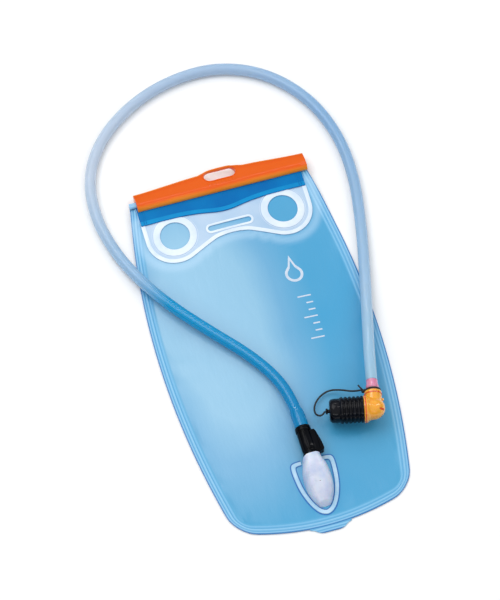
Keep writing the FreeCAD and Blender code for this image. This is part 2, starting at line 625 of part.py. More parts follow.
def release_button():
    """Button that frees the latch, and the spring under it."""
    gap = SHAFT_CLEARANCE
    low_y = OUTLET_MOUTH_Y + END_GAP + 0.2 + HOUSING_WALL
    high_y = low_y + BUTTON_LENGTH
    base_x = OUTLET_X + BODY_RADIUS - 2 + BUTTON_TRAVEL + END_GAP
    face_x = OUTLET_X + BUTTON_REACH
    shoulder_x = OUTLET_X + HOUSING_REACH + END_GAP
    half = BUTTON_Z / 2 - gap
    wedge = Part.Wire([
        line((base_x, low_y + gap, 0), (base_x, high_y - gap, 0)),
        line((base_x, high_y - gap, 0), (shoulder_x, high_y - gap, 0)),
        line((shoulder_x, high_y - gap, 0), (face_x - 0.6, low_y + 0.45 * BUTTON_LENGTH, 0)),
        line((face_x - 0.6, low_y + 0.45 * BUTTON_LENGTH, 0), (face_x, low_y + 2, 0)),
        arc((face_x, low_y + 2, 0), (face_x - 0.5, low_y + 0.8, 0), (face_x - 1.6, low_y + gap, 0)),
        line((face_x - 1.6, low_y + gap, 0), (base_x, low_y + gap, 0)),
    ])
    button = Part.Face(wedge).extrude(V(0, 0, 2 * half))
    button.translate(V(0, 0, OUTLET_Z - half))
    floor_x = OUTLET_X + BODY_RADIUS - 2
    centre = V(floor_x, (low_y + high_y) / 2, OUTLET_Z)
    coil = spring(1.6, 0.25, base_x - floor_x, 3, centre, V(1, 0, 0))
    return button, coil


def connector_seal():
    seal = Part.makeTorus(SPIGOT_RADIUS - 0.35, 0.4, V(0, 0, 0), V(0, 0, 1))
    groove = -BODY_SEAT - SPIGOT_LENGTH / 2
    return placed(seal, outlet_origin() + OUTWARD * groove, OUTWARD)


def hose_barb():
    """Barbed stem: one end in the connector, the other pushed into the tube."""
    origin = outlet_origin()
    start = 8
    collar = CONNECTOR_LENGTH
    radius = TUBE_BORE - 0.05
    end = collar + BARB_LENGTH
    return turned([
        (start, WATER_RADIUS), (start, TUBE_BORE + 0.6), (collar, TUBE_BORE + 0.6), (collar, radius),
        (end - 2, radius), (end, radius - 0.7), (end, WATER_RADIUS),
    ], origin, OUTWARD)


# ---- drink tube and bite valve -------------------------------------------------------------------
def drink_tube():
    path = rounded_path(TUBE_ROUTE, "tube")
    tube = swept(path, TUBE_RADIUS).cut(swept(path, TUBE_BORE))
    section = math.pi * (TUBE_RADIUS ** 2 - TUBE_BORE ** 2)
    print(f"tube length {path.Length:.1f}, volume {tube.Volume:.0f}")
    print(f"section x length {section * path.Length:.0f}")
    return tube


def valve_barb():
    """Stem that the elbow swivels on, a neck, and a barb in the tube's end."""
    bore = WATER_RADIUS + 0.5
    radius = TUBE_BORE - 0.05
    groove = STEM_RADIUS - 1.0
    shoulder = SLEEVE_END + END_GAP
    tip = NECK_END + BARB_LENGTH - 4
    return turned([
        (6, bore), (6, STEM_RADIUS), (8.4, STEM_RADIUS), (8.4, groove), (10.4, groove),
        (10.4, STEM_RADIUS), (shoulder, STEM_RADIUS), (shoulder, COLLAR_NECK_RADIUS),
        (NECK_END - 6, COLLAR_NECK_RADIUS), (NECK_END - 4, TUBE_RADIUS), (NECK_END, TUBE_RADIUS),
        (NECK_END, radius), (tip - 2, radius), (tip, radius - 0.6), (tip, bore),
    ], VALVE, TUBE_WAY)


def valve_seal():
    seal = Part.makeTorus(STEM_RADIUS - 0.35, 0.4, V(0, 0, 0), V(0, 0, 1))
    return placed(seal, VALVE + TUBE_WAY * 9.4, TUBE_WAY)


def valve_elbow():
    """Right-angle housing: a sleeve round the stem and a flanged mouth for the bite valve."""
    sleeve = cylinder(SLEEVE_RADIUS, 0, SLEEVE_END, VALVE, TUBE_WAY)
    dome = Part.makeSphere(ELBOW_RADIUS, VALVE)
    cone = Part.makeCone(ELBOW_RADIUS, FLANGE_RADIUS - 0.8, FLANGE_START, VALVE, CAP_WAY)
    flange = cylinder(FLANGE_RADIUS, FLANGE_START, FLANGE_END, VALVE, CAP_WAY)
    body = sleeve.fuse(dome).fuse(cone).fuse(flange)
    eyelet_at = VALVE - CAP_WAY * 9.6 + TUBE_WAY * 7.6
    stalk = cylinder(1.1, 6.5, 8.4, VALVE - CAP_WAY * 1.0 + TUBE_WAY * 7.6, CAP_WAY * -1)
    body = body.fuse(Part.makeTorus(2.2, 0.85, eyelet_at, V(0, 0, 1))).fuse(stalk)
    body = body.cut(cylinder(STEM_RADIUS + SHAFT_CLEARANCE, 5.6, SLEEVE_END + 1, VALVE, TUBE_WAY))
    body = body.cut(cylinder(2.5, 0, 6, VALVE, TUBE_WAY))
    body = body.cut(cylinder(CORE_RADIUS + SHAFT_CLEARANCE, -3, FLANGE_END + 1, VALVE, CAP_WAY))
    return body.removeSplitter()


def twist_core():
    """Hollow core that turns in the elbow and carries the bite valve."""
    bore = WATER_RADIUS + 0.7
    return turned([
        (-2.6, bore), (-2.6, CORE_RADIUS), (FLANGE_END + END_GAP, CORE_RADIUS), (FLANGE_END + END_GAP, 6.2),
        (FLANGE_END + 2.3, 6.2), (FLANGE_END + 2.3, CORE_RADIUS), (20, CORE_RADIUS), (20, bore),
    ], VALVE, CAP_WAY).cut(cylinder(2.2, 2, 7, VALVE, TUBE_WAY))


def bite_valve():
    """Soft mouthpiece stretched over the core, closed by a slit end."""
    start = FLANGE_END + 2.3
    shell = turned([
        (start, CORE_RADIUS), (start, BITE_RADIUS), (start + 3, BITE_RADIUS),
        (start + 6, BITE_RADIUS - 0.8),
        (BITE_END - 4, BITE_RADIUS - 0.3), (BITE_END - 1, BITE_RADIUS - 1.5), (BITE_END, BITE_RADIUS - 3.4),
        (BITE_END, 0), (BITE_END - 2.5, 0), (BITE_END - 2.5, CORE_RADIUS),
    ], VALVE, CAP_WAY)
    slit = Part.makeBox(0.4, 6.0, 6, V(-0.2, -3.0, 0))
    return shell.cut(placed(slit, VALVE + CAP_WAY * (BITE_END - 4), CAP_WAY))


def dirt_cap():
    """Ribbed rubber cap over the mouthpiece, with a nub for its tether."""
    inner = CAP_RADIUS - CAP_WALL - CAP_RIB_DEPTH
    end = CAP_NOSE_END
    neck = CAP_NUB_RADIUS - 1.0
    section = [(CAP_START, inner), (CAP_START, CAP_RADIUS)]
    first = CAP_START + 2.2
    pitch = (CAP_RIBBED_END - first) / CAP_RIBS
    for i in range(CAP_RIBS):
        here = first + i * pitch
        section.append((here, CAP_RADIUS))
        section.append((here + 0.35 * pitch, CAP_RADIUS - CAP_RIB_DEPTH))
        section.append((here + 0.75 * pitch, CAP_RADIUS))
    section.append((CAP_RIBBED_END, CAP_RADIUS))
    section.append((CAP_RIBBED_END + 1, CAP_NOSE_RADIUS))
    section.append((end - 2.5, CAP_NOSE_RADIUS))
    section.append((end - 0.6, CAP_NOSE_RADIUS - 1.6))
    section.append((end, CAP_NOSE_RADIUS - 3.8))
    section.append((end, neck))
    section.append((end + 1.3, neck))
    section.append((end + 1.6, CAP_NUB_RADIUS))
    section.append((CAP_NUB_END - 0.6, CAP_NUB_RADIUS))
    section.append((CAP_NUB_END, CAP_NUB_RADIUS - 0.9))
    section.append((CAP_NUB_END, 0))
    section.append((end - CAP_WALL, 0))
    section.append((end - CAP_WALL, inner))
    return turned(section, VALVE, CAP_WAY)


def cap_tether():
    path = rounded_path(TETHER_ROUTE, "tether")
    print(f"tether length {path.Length:.1f}")
    return swept(path, TETHER_RADIUS)


def tether_loop():
    """Loop of the tether round the valve neck, with its knot."""
    at = VALVE + TUBE_WAY * (SLEEVE_END + 1.6)
    loop = placed(Part.makeTorus(LOOP_RADIUS, TETHER_RADIUS, V(0, 0, 0), V(0, 0, 1)), at, TUBE_WAY)
    knot_at = at + CAP_WAY * (LOOP_RADIUS + 1.4)
    return loop.fuse(Part.makeSphere(2.1, knot_at))


# ---- build ---------------------------------------------------------------------------------------
def main():
    os.makedirs("parts", exist_ok=True)
    back, front = pouch_films()
    save("back_film", back)
    save("front_film", front)
    save("hang_panel", hang_panel())
    save("mouth_flap", loose_layer(flap_outline(), PANEL + 2 * LAYER_GAP, FLAP))
    fold, rails = fold_and_rails()
    save("mouth_fold", fold)
    save("lower_fold_rail", rails[0])
    save("upper_fold_rail", rails[1])
    save("slider_clip", slider_clip())
    save("outlet_fitting", outlet_fitting())
    save("outlet_weld_ring", outlet_weld_ring())
    disc, seal, coil = shutoff_valve()
    save("shutoff_disc", disc)
    save("shutoff_seal", seal)
    save("shutoff_spring", coil)
    save("connector_body", connector_body())
    button, button_coil = release_button()
    save("release_button", button)
    save("button_spring", button_coil)
    save("connector_seal", connector_seal())
    save("hose_barb", hose_barb())
    save("drink_tube", drink_tube())
    save("valve_barb", valve_barb())
    save("valve_seal", valve_seal())
    save("valve_elbow", valve_elbow())
    save("twist_core", twist_core())
    save("bite_valve", bite_valve())
    save("dirt_cap", dirt_cap())
    save("cap_tether", cap_tether())
    save("tether_loop", tether_loop())


main()
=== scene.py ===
# %% [markdown]
# # Hydration bladder
# A flat pouch of two welded films lies on its back. A clip closes its folded mouth, a drink tube
# leaves it through a quick-release outlet, and a capped bite valve lies at the tube's other end.
# The CAD model is loaded first: it holds every size, and each new piece is placed from it.

# %% Load the frame
import json
import math

import bmesh
import bpy
from mathutils import Matrix, Vector


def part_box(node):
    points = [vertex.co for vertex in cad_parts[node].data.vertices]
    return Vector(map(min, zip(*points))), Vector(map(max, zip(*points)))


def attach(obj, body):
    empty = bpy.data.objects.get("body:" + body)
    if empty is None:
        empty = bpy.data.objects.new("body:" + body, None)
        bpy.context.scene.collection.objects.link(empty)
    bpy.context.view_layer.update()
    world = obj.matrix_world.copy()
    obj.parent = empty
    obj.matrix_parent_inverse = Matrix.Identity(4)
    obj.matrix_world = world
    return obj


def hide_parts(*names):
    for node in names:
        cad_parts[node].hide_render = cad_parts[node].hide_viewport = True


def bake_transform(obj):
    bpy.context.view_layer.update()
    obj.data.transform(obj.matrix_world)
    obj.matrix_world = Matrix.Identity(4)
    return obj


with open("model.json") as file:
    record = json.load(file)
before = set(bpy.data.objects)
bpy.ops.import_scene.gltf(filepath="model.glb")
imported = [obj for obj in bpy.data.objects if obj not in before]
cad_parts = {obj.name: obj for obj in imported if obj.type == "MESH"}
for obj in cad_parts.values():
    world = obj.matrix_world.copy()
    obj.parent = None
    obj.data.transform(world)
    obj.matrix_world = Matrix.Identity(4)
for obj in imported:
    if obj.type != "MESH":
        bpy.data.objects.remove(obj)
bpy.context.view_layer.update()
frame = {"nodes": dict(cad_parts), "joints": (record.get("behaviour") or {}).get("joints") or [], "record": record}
MM = 0.001
joints = {joint["name"]: joint for joint in frame["joints"]}
openings = {o["name"]: o["box_m"] for o in frame["record"]["physics"]["openings"]}

# %% [markdown]
# ## Camera, floor and light
# A long lens far away keeps the sheet-like object undistorted. It looks down steeply from the
# pouch's lower left. The light is one broad soft sky, a large panel above and three long strips
# round the object, because clear plastics are drawn by what they reflect. The sky is darker and
# bluer near the horizon, as in a studio with dark walls, so that round pieces get darker sides
# and don't look washed out.

# %% Camera
LOOK_AT = Vector((-3.2 * MM, 50.6 * MM, 0))
AZIMUTH = math.radians(-16.3)
ELEVATION = math.radians(61.63)
DISTANCE = 4.325
LENS = 300.0

camera = bpy.data.objects.new("camera", bpy.data.cameras.new("camera"))
bpy.context.scene.collection.objects.link(camera)
back = Vector((math.sin(AZIMUTH) * math.cos(ELEVATION), -math.cos(AZIMUTH) * math.cos(ELEVATION),
               math.sin(ELEVATION)))
camera.location = LOOK_AT + back * DISTANCE
camera.rotation_mode = "QUATERNION"
camera.rotation_quaternion = (-back).to_track_quat("-Z", "Y")
camera.data.lens = LENS
camera.data.sensor_width = 36.0
camera.data.clip_end = 50.0
bpy.context.scene.camera = camera

# %% Floor and sky
bpy.ops.object.select_all(action="DESELECT")
bpy.ops.mesh.primitive_plane_add(size=12.0, location=(0, 0, -0.0003))
floor = bpy.context.object
floor.name = "floor"
paper = bpy.data.materials.new("floor_paper")
paper.use_nodes = True
paper.node_tree.nodes["Principled BSDF"].inputs["Base Color"].default_value = (0.93, 0.93, 0.93, 1)
paper.node_tree.nodes["Principled BSDF"].inputs["Roughness"].default_value = 0.9
paper.node_tree.nodes["Principled BSDF"].inputs["Specular IOR Level"].default_value = 0.1
floor.data.materials.append(paper)

LOW_SKY = (0.20, 0.27, 0.36, 1)
HIGH_SKY = (1.0, 1.0, 1.0, 1)
world = bpy.data.worlds.new("sky")
bpy.context.scene.world = world
world.use_nodes = True
sky_nodes = world.node_tree.nodes
sky_links = world.node_tree.links
sky_place = sky_nodes.new("ShaderNodeTexCoord")
sky_axes = sky_nodes.new("ShaderNodeSeparateXYZ")
sky_ramp = sky_nodes.new("ShaderNodeValToRGB")
sky_links.new(sky_place.outputs["Generated"], sky_axes.inputs["Vector"])
sky_links.new(sky_axes.outputs["Z"], sky_ramp.inputs["Fac"])
sky_links.new(sky_ramp.outputs["Color"], sky_nodes["Background"].inputs["Color"])
sky_ramp.color_ramp.elements[0].position = 0.22
sky_ramp.color_ramp.elements[0].color = LOW_SKY
sky_ramp.color_ramp.elements[1].position = 0.62
sky_ramp.color_ramp.elements[1].color = HIGH_SKY
sky_nodes["Background"].inputs["Strength"].default_value = 0.8
bpy.context.scene.view_settings.view_transform = "Standard"


def panel_light(name, place, aim, size, power):
    """A rectangular softbox at place, facing aim."""
    lamp = bpy.data.lights.new(name, "AREA")
    lamp.shape = "RECTANGLE"
    lamp.size, lamp.size_y = size
    lamp.energy = power
    lamp_object = bpy.data.objects.new(name, lamp)
    bpy.context.scene.collection.objects.link(lamp_object)
    lamp_object.location = place
    lamp_object.rotation_mode = "QUATERNION"
    lamp_object.rotation_quaternion = (Vector(aim) - Vector(place)).to_track_quat("-Z", "Y")


panel_light("top_panel", (-0.5, 0.5, 1.6), (0, 0.03, 0), (1.2, 1.2), 11.0)
panel_light("side_strip", (1.1, 0.15, 1.1), (0, 0.03, 0), (0.07, 1.5), 3.2)
panel_light("rear_strip", (0.0, 1.25, 1.25), (0, 0.03, 0), (1.4, 0.07), 2.2)
panel_light("front_strip", (-0.5, -1.2, 0.7), (0, 0.03, 0), (1.4, 0.08), 2.4)

# %% [markdown]
# ## Helpers
# A few small tools are used for every piece: clear the selection, turn a half section round an
# axis with Spin, and finish a mesh with clean outward normals and smooth shading.


# %% Helpers for meshes
def deselect():
    if bpy.context.object and bpy.context.object.mode != "OBJECT":
        bpy.ops.object.mode_set(mode="OBJECT")
    bpy.ops.object.select_all(action="DESELECT")


def activate(piece):
    deselect()
    bpy.context.view_layer.objects.active = piece
    piece.select_set(True)
    return piece


def apply_modifiers(piece):
    activate(piece)
    for modifier in list(piece.modifiers):
        bpy.ops.object.modifier_apply(modifier=modifier.name)
    return piece


def add_modifier(piece, kind, **settings):
    modifier = piece.modifiers.new(kind.lower(), kind)
    for name, value in settings.items():
        setattr(modifier, name, value)
    return modifier


def clean(piece, angle=35.0, merge=1e-6, recalculate=True):
    """Merge doubles, point the faces outwards and shade smoothly, sharp edges excepted."""
    activate(piece)
    bpy.ops.object.mode_set(mode="EDIT")
    bpy.ops.mesh.select_all(action="SELECT")
    bpy.ops.mesh.remove_doubles(threshold=merge)
    if recalculate:
        bpy.ops.mesh.normals_make_consistent(inside=False)
    bpy.ops.object.mode_set(mode="OBJECT")
    bpy.ops.object.shade_smooth_by_angle(angle=math.radians(angle))
    return piece


def mesh_from(name, corners, edges=(), faces=()):
    mesh = bpy.data.meshes.new(name)
    mesh.from_pydata([tuple(c) for c in corners], edges, faces)
    piece = bpy.data.objects.new(name, mesh)
    bpy.context.scene.collection.objects.link(piece)
    return activate(piece)


def placement(base, way, up=Vector((0, 0, 1))):
    """Matrix that stands a piece made along +Z at base, along way, with its +Y towards up."""
    z = Vector(way).normalized()
    y = (Vector(up) - z * z.dot(up)).normalized()
    x = y.cross(z)
    return Matrix.Translation(base) @ Matrix((x, y, z)).transposed().to_4x4()


def turned(name, section, base, way, steps=96, angle=35.0):
    """Spin a closed half section of (along, radius) corners round an axis."""
    corners = [(radius, 0, along) for along, radius in section]
    count = len(corners)
    piece = mesh_from(name, corners, [(i, (i + 1) % count) for i in range(count)])
    bpy.ops.object.mode_set(mode="EDIT")
    bpy.ops.mesh.select_all(action="SELECT")
    bpy.ops.mesh.spin(steps=steps, angle=2 * math.pi, axis=(0, 0, 1), center=(0, 0, 0))
    bpy.ops.object.mode_set(mode="OBJECT")
    piece.data.transform(placement(base, way))
    return clean(piece, angle)


def join(name, parts):
    """Join several meshes into one piece."""
    activate(parts[0])
    for part in parts:
        part.select_set(True)
    bpy.ops.object.join()
    parts[0].name = name
    return parts[0]


def paint(piece, material):
    piece.data.materials.clear()
    piece.data.materials.append(material)
    return piece


def repaint(node, material):
    """Give a carried-over CAD node a better material."""
    slots = frame["nodes"][node].material_slots
    for slot in slots:
        slot.material = material


# %% [markdown]
# ## The drink tube
# The tube is 10 mm hose that lies in one loose loop: off the outlet, over the pouch's left edge,
# round above the slider and back along the right edge to the bite valve. Its line is a smooth
# NURBS spline whose control points are the corners of the route. A plain bevelled curve would be
# solid, so rings are swept along the spline instead, outer wall and bore, which lets the light
# bend in the wall as it does in real clear hose.

# %% Places along the outlet and valve axes
barb_low, barb_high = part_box("hose_barb")
pod_low, pod_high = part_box("outlet_fitting")
OUTLET_X = (barb_low.x + barb_high.x) / 2
OUTLET_Z = (barb_low.z + barb_high.z) / 2
OUTLET_MOUTH_Y = pod_high.y
VALVE = Vector(joints["elbow_swivel"]["pos_m"])
TUBE_WAY = Vector(joints["elbow_swivel"]["axis"]).normalized()
CAP_WAY = Vector(joints["cap_pull"]["axis"]).normalized()
NECK_END = 27.0 * MM
TUBE_RADIUS = 5.0 * MM
TUBE_BORE = 3.3 * MM
FLOOR_TUBE_Z = 5.05 * MM

TUBE_ROUTE = [
    (0.0025, -0.088, 0.015),
    (0.0025, -0.068, 0.015),
    (-0.003, -0.038, 0.0136),
    (-0.020, -0.008, 0.0129),
    (-0.044, 0.021, 0.0128),
    (-0.070, 0.055, 0.0115),
    (-0.089, 0.089, 0.0074),
    (-0.103, 0.124, FLOOR_TUBE_Z),
    (-0.1105, 0.163, FLOOR_TUBE_Z),
    (-0.1065, 0.203, FLOOR_TUBE_Z),
    (-0.086, 0.238, FLOOR_TUBE_Z),
    (-0.051, 0.265, FLOOR_TUBE_Z),
    (-0.010, 0.280, FLOOR_TUBE_Z),
    (0.034, 0.2815, FLOOR_TUBE_Z),
    (0.074, 0.263, FLOOR_TUBE_Z),
    (0.103, 0.228, FLOOR_TUBE_Z),
    (0.117, 0.185, FLOOR_TUBE_Z),
    (0.118, 0.141, FLOOR_TUBE_Z),
    (0.1105, 0.096, 0.0052),
    (0.101, 0.054, 0.0066),
    (0.0905, 0.013, 0.0098),
    (0.0815, -0.021, 0.0165),
    (0.0763, -0.0417, VALVE.z),
    tuple(VALVE + TUBE_WAY * NECK_END),
]


# %% Read a smooth line from a spline
def smooth_line(name, route, resolution):
    """Points of the NURBS spline that has the route's corners as its control points."""
    curve = bpy.data.curves.new(name, "CURVE")
    curve.dimensions = "3D"
    spline = curve.splines.new("NURBS")
    spline.points.add(len(route) - 1)
    for point, place in zip(spline.points, route):
        point.co = (*place, 1.0)
    spline.order_u = 3
    spline.use_endpoint_u = True
    spline.resolution_u = resolution
    line_object = bpy.data.objects.new(name, curve)
    bpy.context.scene.collection.objects.link(line_object)
    mesh = bpy.data.meshes.new_from_object(line_object)
    points = [v.co.copy() for v in mesh.vertices]
    bpy.data.objects.remove(line_object)
    bpy.data.meshes.remove(mesh)
    bpy.data.curves.remove(curve)
    return points


def line_length(points):
    return sum((b - a).length for a, b in zip(points, points[1:]))


def swept_tube(name, points, radius_at, sides, bore_at=None):
    """Rings round the line, carried along it without twist, and a bore inside if one is given."""
    ways = [(b - a).normalized() for a, b in zip(points, points[1:])]
    ways.append(ways[-1])
    side = ways[0].orthogonal().normalized()
    total = line_length(points)
    run = 0.0
    corners = []
    faces = []
    stations = []
    for i, (point, way) in enumerate(zip(points, ways)):
        if i:
            run += (point - points[i - 1]).length
        side = (side - way * side.dot(way)).normalized()
        other = way.cross(side)
        stations.append((point, side.copy(), other, run, total))
    walls = [radius_at] if bore_at is None else [radius_at, bore_at]
    for wall in walls:
        for point, side, other, run, total in stations:
            for k in range(sides):
                turn = 2 * math.pi * k / sides
                corners.append(point + (side * math.cos(turn) + other * math.sin(turn)) * wall(run, total))
    count = len(stations)
    for w in range(len(walls)):
        start = w * count * sides
        for i in range(count - 1):
            for k in range(sides):
                a = start + i * sides + k
                b = start + i * sides + (k + 1) % sides
                quad = (a, b, b + sides, a + sides)
                faces.append(quad if w == 0 else quad[::-1])
    if bore_at is None:
        faces.append(tuple(range(sides))[::-1])
        faces.append(tuple(range((count - 1) * sides, count * sides)))
    else:
        inner = count * sides
        last = (count - 1) * sides
        for k in range(sides):
            n = (k + 1) % sides
            faces.append((k, inner + k, inner + n, n))
            faces.append((last + k, last + n, inner + last + n, inner + last + k))
    piece = mesh_from(name, corners, (), faces)
    uv = piece.data.uv_layers.new(name="along")
    for loop in piece.data.loops:
        index = loop.vertex_index % (count * sides)
        uv.data[loop.index].uv = (stations[index // sides][3], (index % sides) / sides)
    bpy.ops.object.shade_smooth_by_angle(angle=math.radians(40))
    return piece


# %% Sweep the tube
FLARE_RADIUS = 6.1 * MM
FLARE_LENGTH = 14.0 * MM


def tube_outer(run, total):
    """The end over the hose barb is stretched wider."""
    t = max(0.0, min(1.0, (run - FLARE_LENGTH) / (5 * MM)))
    return FLARE_RADIUS + (TUBE_RADIUS - FLARE_RADIUS) * t * t * (3 - 2 * t)


def tube_bore(run, total):
    return tube_outer(run, total) - (TUBE_RADIUS - TUBE_BORE)


tube_line = smooth_line("tube_line", TUBE_ROUTE, 14)
tube_length = line_length(tube_line)
drink_tube = swept_tube("drink_hose", tube_line, tube_outer, 40, tube_bore)
print("tube length", round(tube_length, 4), "faces", len(drink_tube.data.polygons))


# %% [markdown]
# ## The lie of the film
# The pouch is nearly empty: two films welded round the edge with a little air between them. One
# function gives the height of the front film at any place, so that everything that lies on it,
# from the grip panel to the printed marks, follows the same surface. Close to the weld the film
# gathers in shallow puckers, because a flat sheet that is blown up has too much edge.

# %% Sizes of the pouch
front_low, front_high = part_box("front_film")
fold_low, fold_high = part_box("mouth_fold")
slider_low, slider_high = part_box("slider_clip")
HALF_WIDTH = front_high.x
MOUTH_HALF_WIDTH = fold_high.x
LIP_Y = fold_low.y
SLIDER_FOOT_Y = slider_low.y
WIDEST_Y = 5 * MM
TAB_DEPTH = 5.5 * MM
BOTTOM_Y = front_low.y + TAB_DEPTH
BOTTOM_BOW = 11 * MM
BOW_HALF_WIDTH = 67 * MM
CORNER_RADIUS = 16 * MM
WELD = 8 * MM
FILM = 0.5 * MM
PUFF = 6.0 * MM
PUFF_END = 90 * MM
MOUTH_LIFT = 4.5 * MM
LIFT_START = 100 * MM
SIDE_BOW = (HALF_WIDTH - MOUTH_HALF_WIDTH) / (LIP_Y - WIDEST_Y) ** 2


# %% The film's outline and height
def smoothstep(t):
    t = max(0.0, min(1.0, t))
    return t * t * (3 - 2 * t)


def half_width(y):
    return HALF_WIDTH - SIDE_BOW * (y - WIDEST_Y) ** 2


def bottom_edge(x):
    return BOTTOM_Y + BOTTOM_BOW * (x / BOW_HALF_WIDTH) ** 2


def edge_distance(x, y):
    """How far inside the pouch's edge a place is, round its lower corners too."""
    side = half_width(y) - abs(x)
    foot = y - bottom_edge(x)
    if side < CORNER_RADIUS and foot < CORNER_RADIUS:
        return CORNER_RADIUS - math.hypot(CORNER_RADIUS - side, CORNER_RADIUS - foot)
    return min(side, foot)


def lift(y):
    """The back film lies on the floor and rises to the slider."""
    return MOUTH_LIFT * smoothstep((y - LIFT_START) / (SLIDER_FOOT_Y - LIFT_START))


def pucker(x, y, inside):
    """Shallow gathers that start at the weld and die out over a few centimetres."""
    fade = smoothstep((inside - WELD) / (5 * MM)) * (1 - smoothstep((inside - WELD) / (34 * MM)))
    along = y if half_width(y) - abs(x) < y - bottom_edge(x) else x
    wave = math.sin(along * 190 + math.sin(along * 61) * 1.7) * math.sin(along * 47 + 1.3)
    return 0.32 * MM * fade * wave


def slack(x, y):
    """Slow swells of the loose film."""
    swell = math.sin(x * 31 + y * 17 + 0.6) * math.sin(y * 23 - x * 12 + 1.1)
    ripple = math.sin(x * 66 - y * 41) * math.sin(y * 57 + 2.0)
    return (0.45 * swell + 0.16 * ripple) * MM


def film_top(x, y):
    """Height of the front film's upper face."""
    inside = edge_distance(x, y)
    across = min(1.0, abs(x) / (half_width(y) - WELD))
    up = max(0.0, min(1.0, (y - BOTTOM_Y - WELD) / PUFF_END))
    mouth = 1 - smoothstep((y - LIFT_START) / (SLIDER_FOOT_Y - LIFT_START))
    puff = PUFF * (1 - across ** 2) ** 1.5 * (1 - (1 - up) ** 2) ** 1.5 * mouth
    loose = smoothstep((inside - WELD) / (22 * MM)) * mouth
    return lift(y) + 2 * FILM + puff + pucker(x, y, inside) * mouth + slack(x, y) * loose * 0.8


# %% [markdown]
# ## The two films
# Each film starts as a flat grid, dense near the edge where the weld's ridges are and coarser in
# the middle. Every grid point is moved into the pouch's outline, with the lower corners rounded
# like a squircle, and up to the film's height. The weld is pressed with a ribbed die, so three
# narrow ridges run along the edge. Solidify then gives the sheet its half millimetre.

# %% Grid lines that crowd towards the edge
RIM_STEP = 0.75 * MM
RIM_LINES = 16
RIDGES = (1.6 * MM, 4.3 * MM, 7.0 * MM)


def rim_share(index, count):
    """Distance from the edge of grid line index, and the share of the inner width beyond the rim."""
    if index <= RIM_LINES:
        return index * RIM_STEP, 0.0
    return RIM_LINES * RIM_STEP, (index - RIM_LINES) / count


def ridge_height(inside):
    rise = 0.0
    for place in RIDGES:
        rise += math.exp(-((inside - place) / (0.55 * MM)) ** 2)
    return 0.34 * MM * rise


def square_to_round(side, foot):
    """Move a place near a lower corner so that the corner's square becomes a quarter disc."""
    a = CORNER_RADIUS - side
    b = CORNER_RADIUS - foot
    if a <= 0 or b <= 0:
        return side, foot
    shrink = max(a, b) / math.hypot(a, b)
    return CORNER_RADIUS - a * shrink, CORNER_RADIUS - b * shrink


def film_grid(name, half_columns, rows, top_y, height_at):
    """A grid moved into the pouch's outline, each point at height_at(x, y, inside)."""
    columns = 2 * (RIM_LINES + half_columns)
    lines = RIM_LINES + rows
    deselect()
    bpy.ops.mesh.primitive_grid_add(x_subdivisions=columns, y_subdivisions=lines, size=1.0)
    piece = bpy.context.object
    piece.name = name
    piece.data.name = name
    for vertex in piece.data.vertices:
        i = round((vertex.co.x + 0.5) * columns)
        j = round((vertex.co.y + 0.5) * lines)
        mirrored = i > columns // 2
        from_edge, share = rim_share(columns - i if mirrored else i, half_columns)
        up, up_share = rim_share(j, rows)
        guess_y = BOTTOM_Y + up + up_share * (top_y - BOTTOM_Y - up)
        for step in range(4):
            width = half_width(guess_y)
            side = from_edge + share * (width - from_edge)
            x = width - side
            foot = up + up_share * (top_y - bottom_edge(x) - up)
            round_side, round_foot = square_to_round(side, foot)
            x = width - round_side
            guess_y = bottom_edge(x) + round_foot
        x = max(0.0, half_width(guess_y) - round_side)
        x = x if mirrored else -x
        vertex.co = (x, guess_y, height_at(x, guess_y, edge_distance(x, guess_y)))
    return piece


def front_height(x, y, inside):
    return film_top(x, y) + ridge_height(inside)


def back_height(x, y, inside):
    return lift(y) + 0.02 * MM


# %% Make the films
front_film = film_grid("pouch_front", 30, 110, LIP_Y, front_height)
add_modifier(front_film, "SOLIDIFY", thickness=0.45 * MM, offset=-1.0)
apply_modifiers(front_film)
clean(front_film, 60, 1e-7)
back_film = film_grid("pouch_back", 12, 60, LIP_Y, back_height)
add_modifier(back_film, "SOLIDIFY", thickness=0.45 * MM, offset=1.0)
apply_modifiers(back_film)
clean(back_film, 60, 1e-7)
print("front film faces", len(front_film.data.polygons))

# %% [markdown]
# ## Sheets that lie on the film
# The grip panel, its weld bands, the folded mouth and the printed marks are all flat shapes that
# lie on the front film. Each is drawn as a flat outline, filled, cut into small squares with
# Bisect so that it can bend, laid on the film by moving every point to the film's height, and
# given its thickness with Solidify. The weld bands get a rounded top by a small bevel.


# %% Helpers for flat shapes
def arc_points(cx, cy, radius, start, stop, count):
    """Points on an arc, angles in degrees."""
    turns = [math.radians(start + (stop - start) * i / count) for i in range(count + 1)]
    return [(cx + radius * math.cos(t), cy + radius * math.sin(t)) for t in turns]


def circle(cx, cy, radius, count=72):
    return arc_points(cx, cy, radius, 0, 360 * (count - 1) / count, count - 1)


def stadium(cx, cy, length, width):
    half = (length - width) / 2
    right = arc_points(cx + half, cy, width / 2, -90, 90, 12)
    left = arc_points(cx - half, cy, width / 2, 90, 270, 12)
    return right + left


def smooth_line_2d(points):
    """A smooth open line that has the points as control points."""
    line = smooth_line("edge_line", [(x, y, 0) for x, y in points], 4)
    return [(p.x, p.y) for p in line]


def flat_shape(name, loops):
    """Fill flat closed loops; a loop inside another is a hole."""
    curve = bpy.data.curves.new(name, "CURVE")
    curve.dimensions = "2D"
    curve.fill_mode = "BOTH"
    for loop in loops:
        spline = curve.splines.new("POLY")
        spline.points.add(len(loop) - 1)
        for point, (x, y) in zip(spline.points, loop):
            point.co = (x, y, 0, 1)
        spline.use_cyclic_u = True
    shape = bpy.data.objects.new(name, curve)
    bpy.context.scene.collection.objects.link(shape)
    activate(shape)
    bpy.ops.object.convert(target="MESH")
    return bpy.context.object


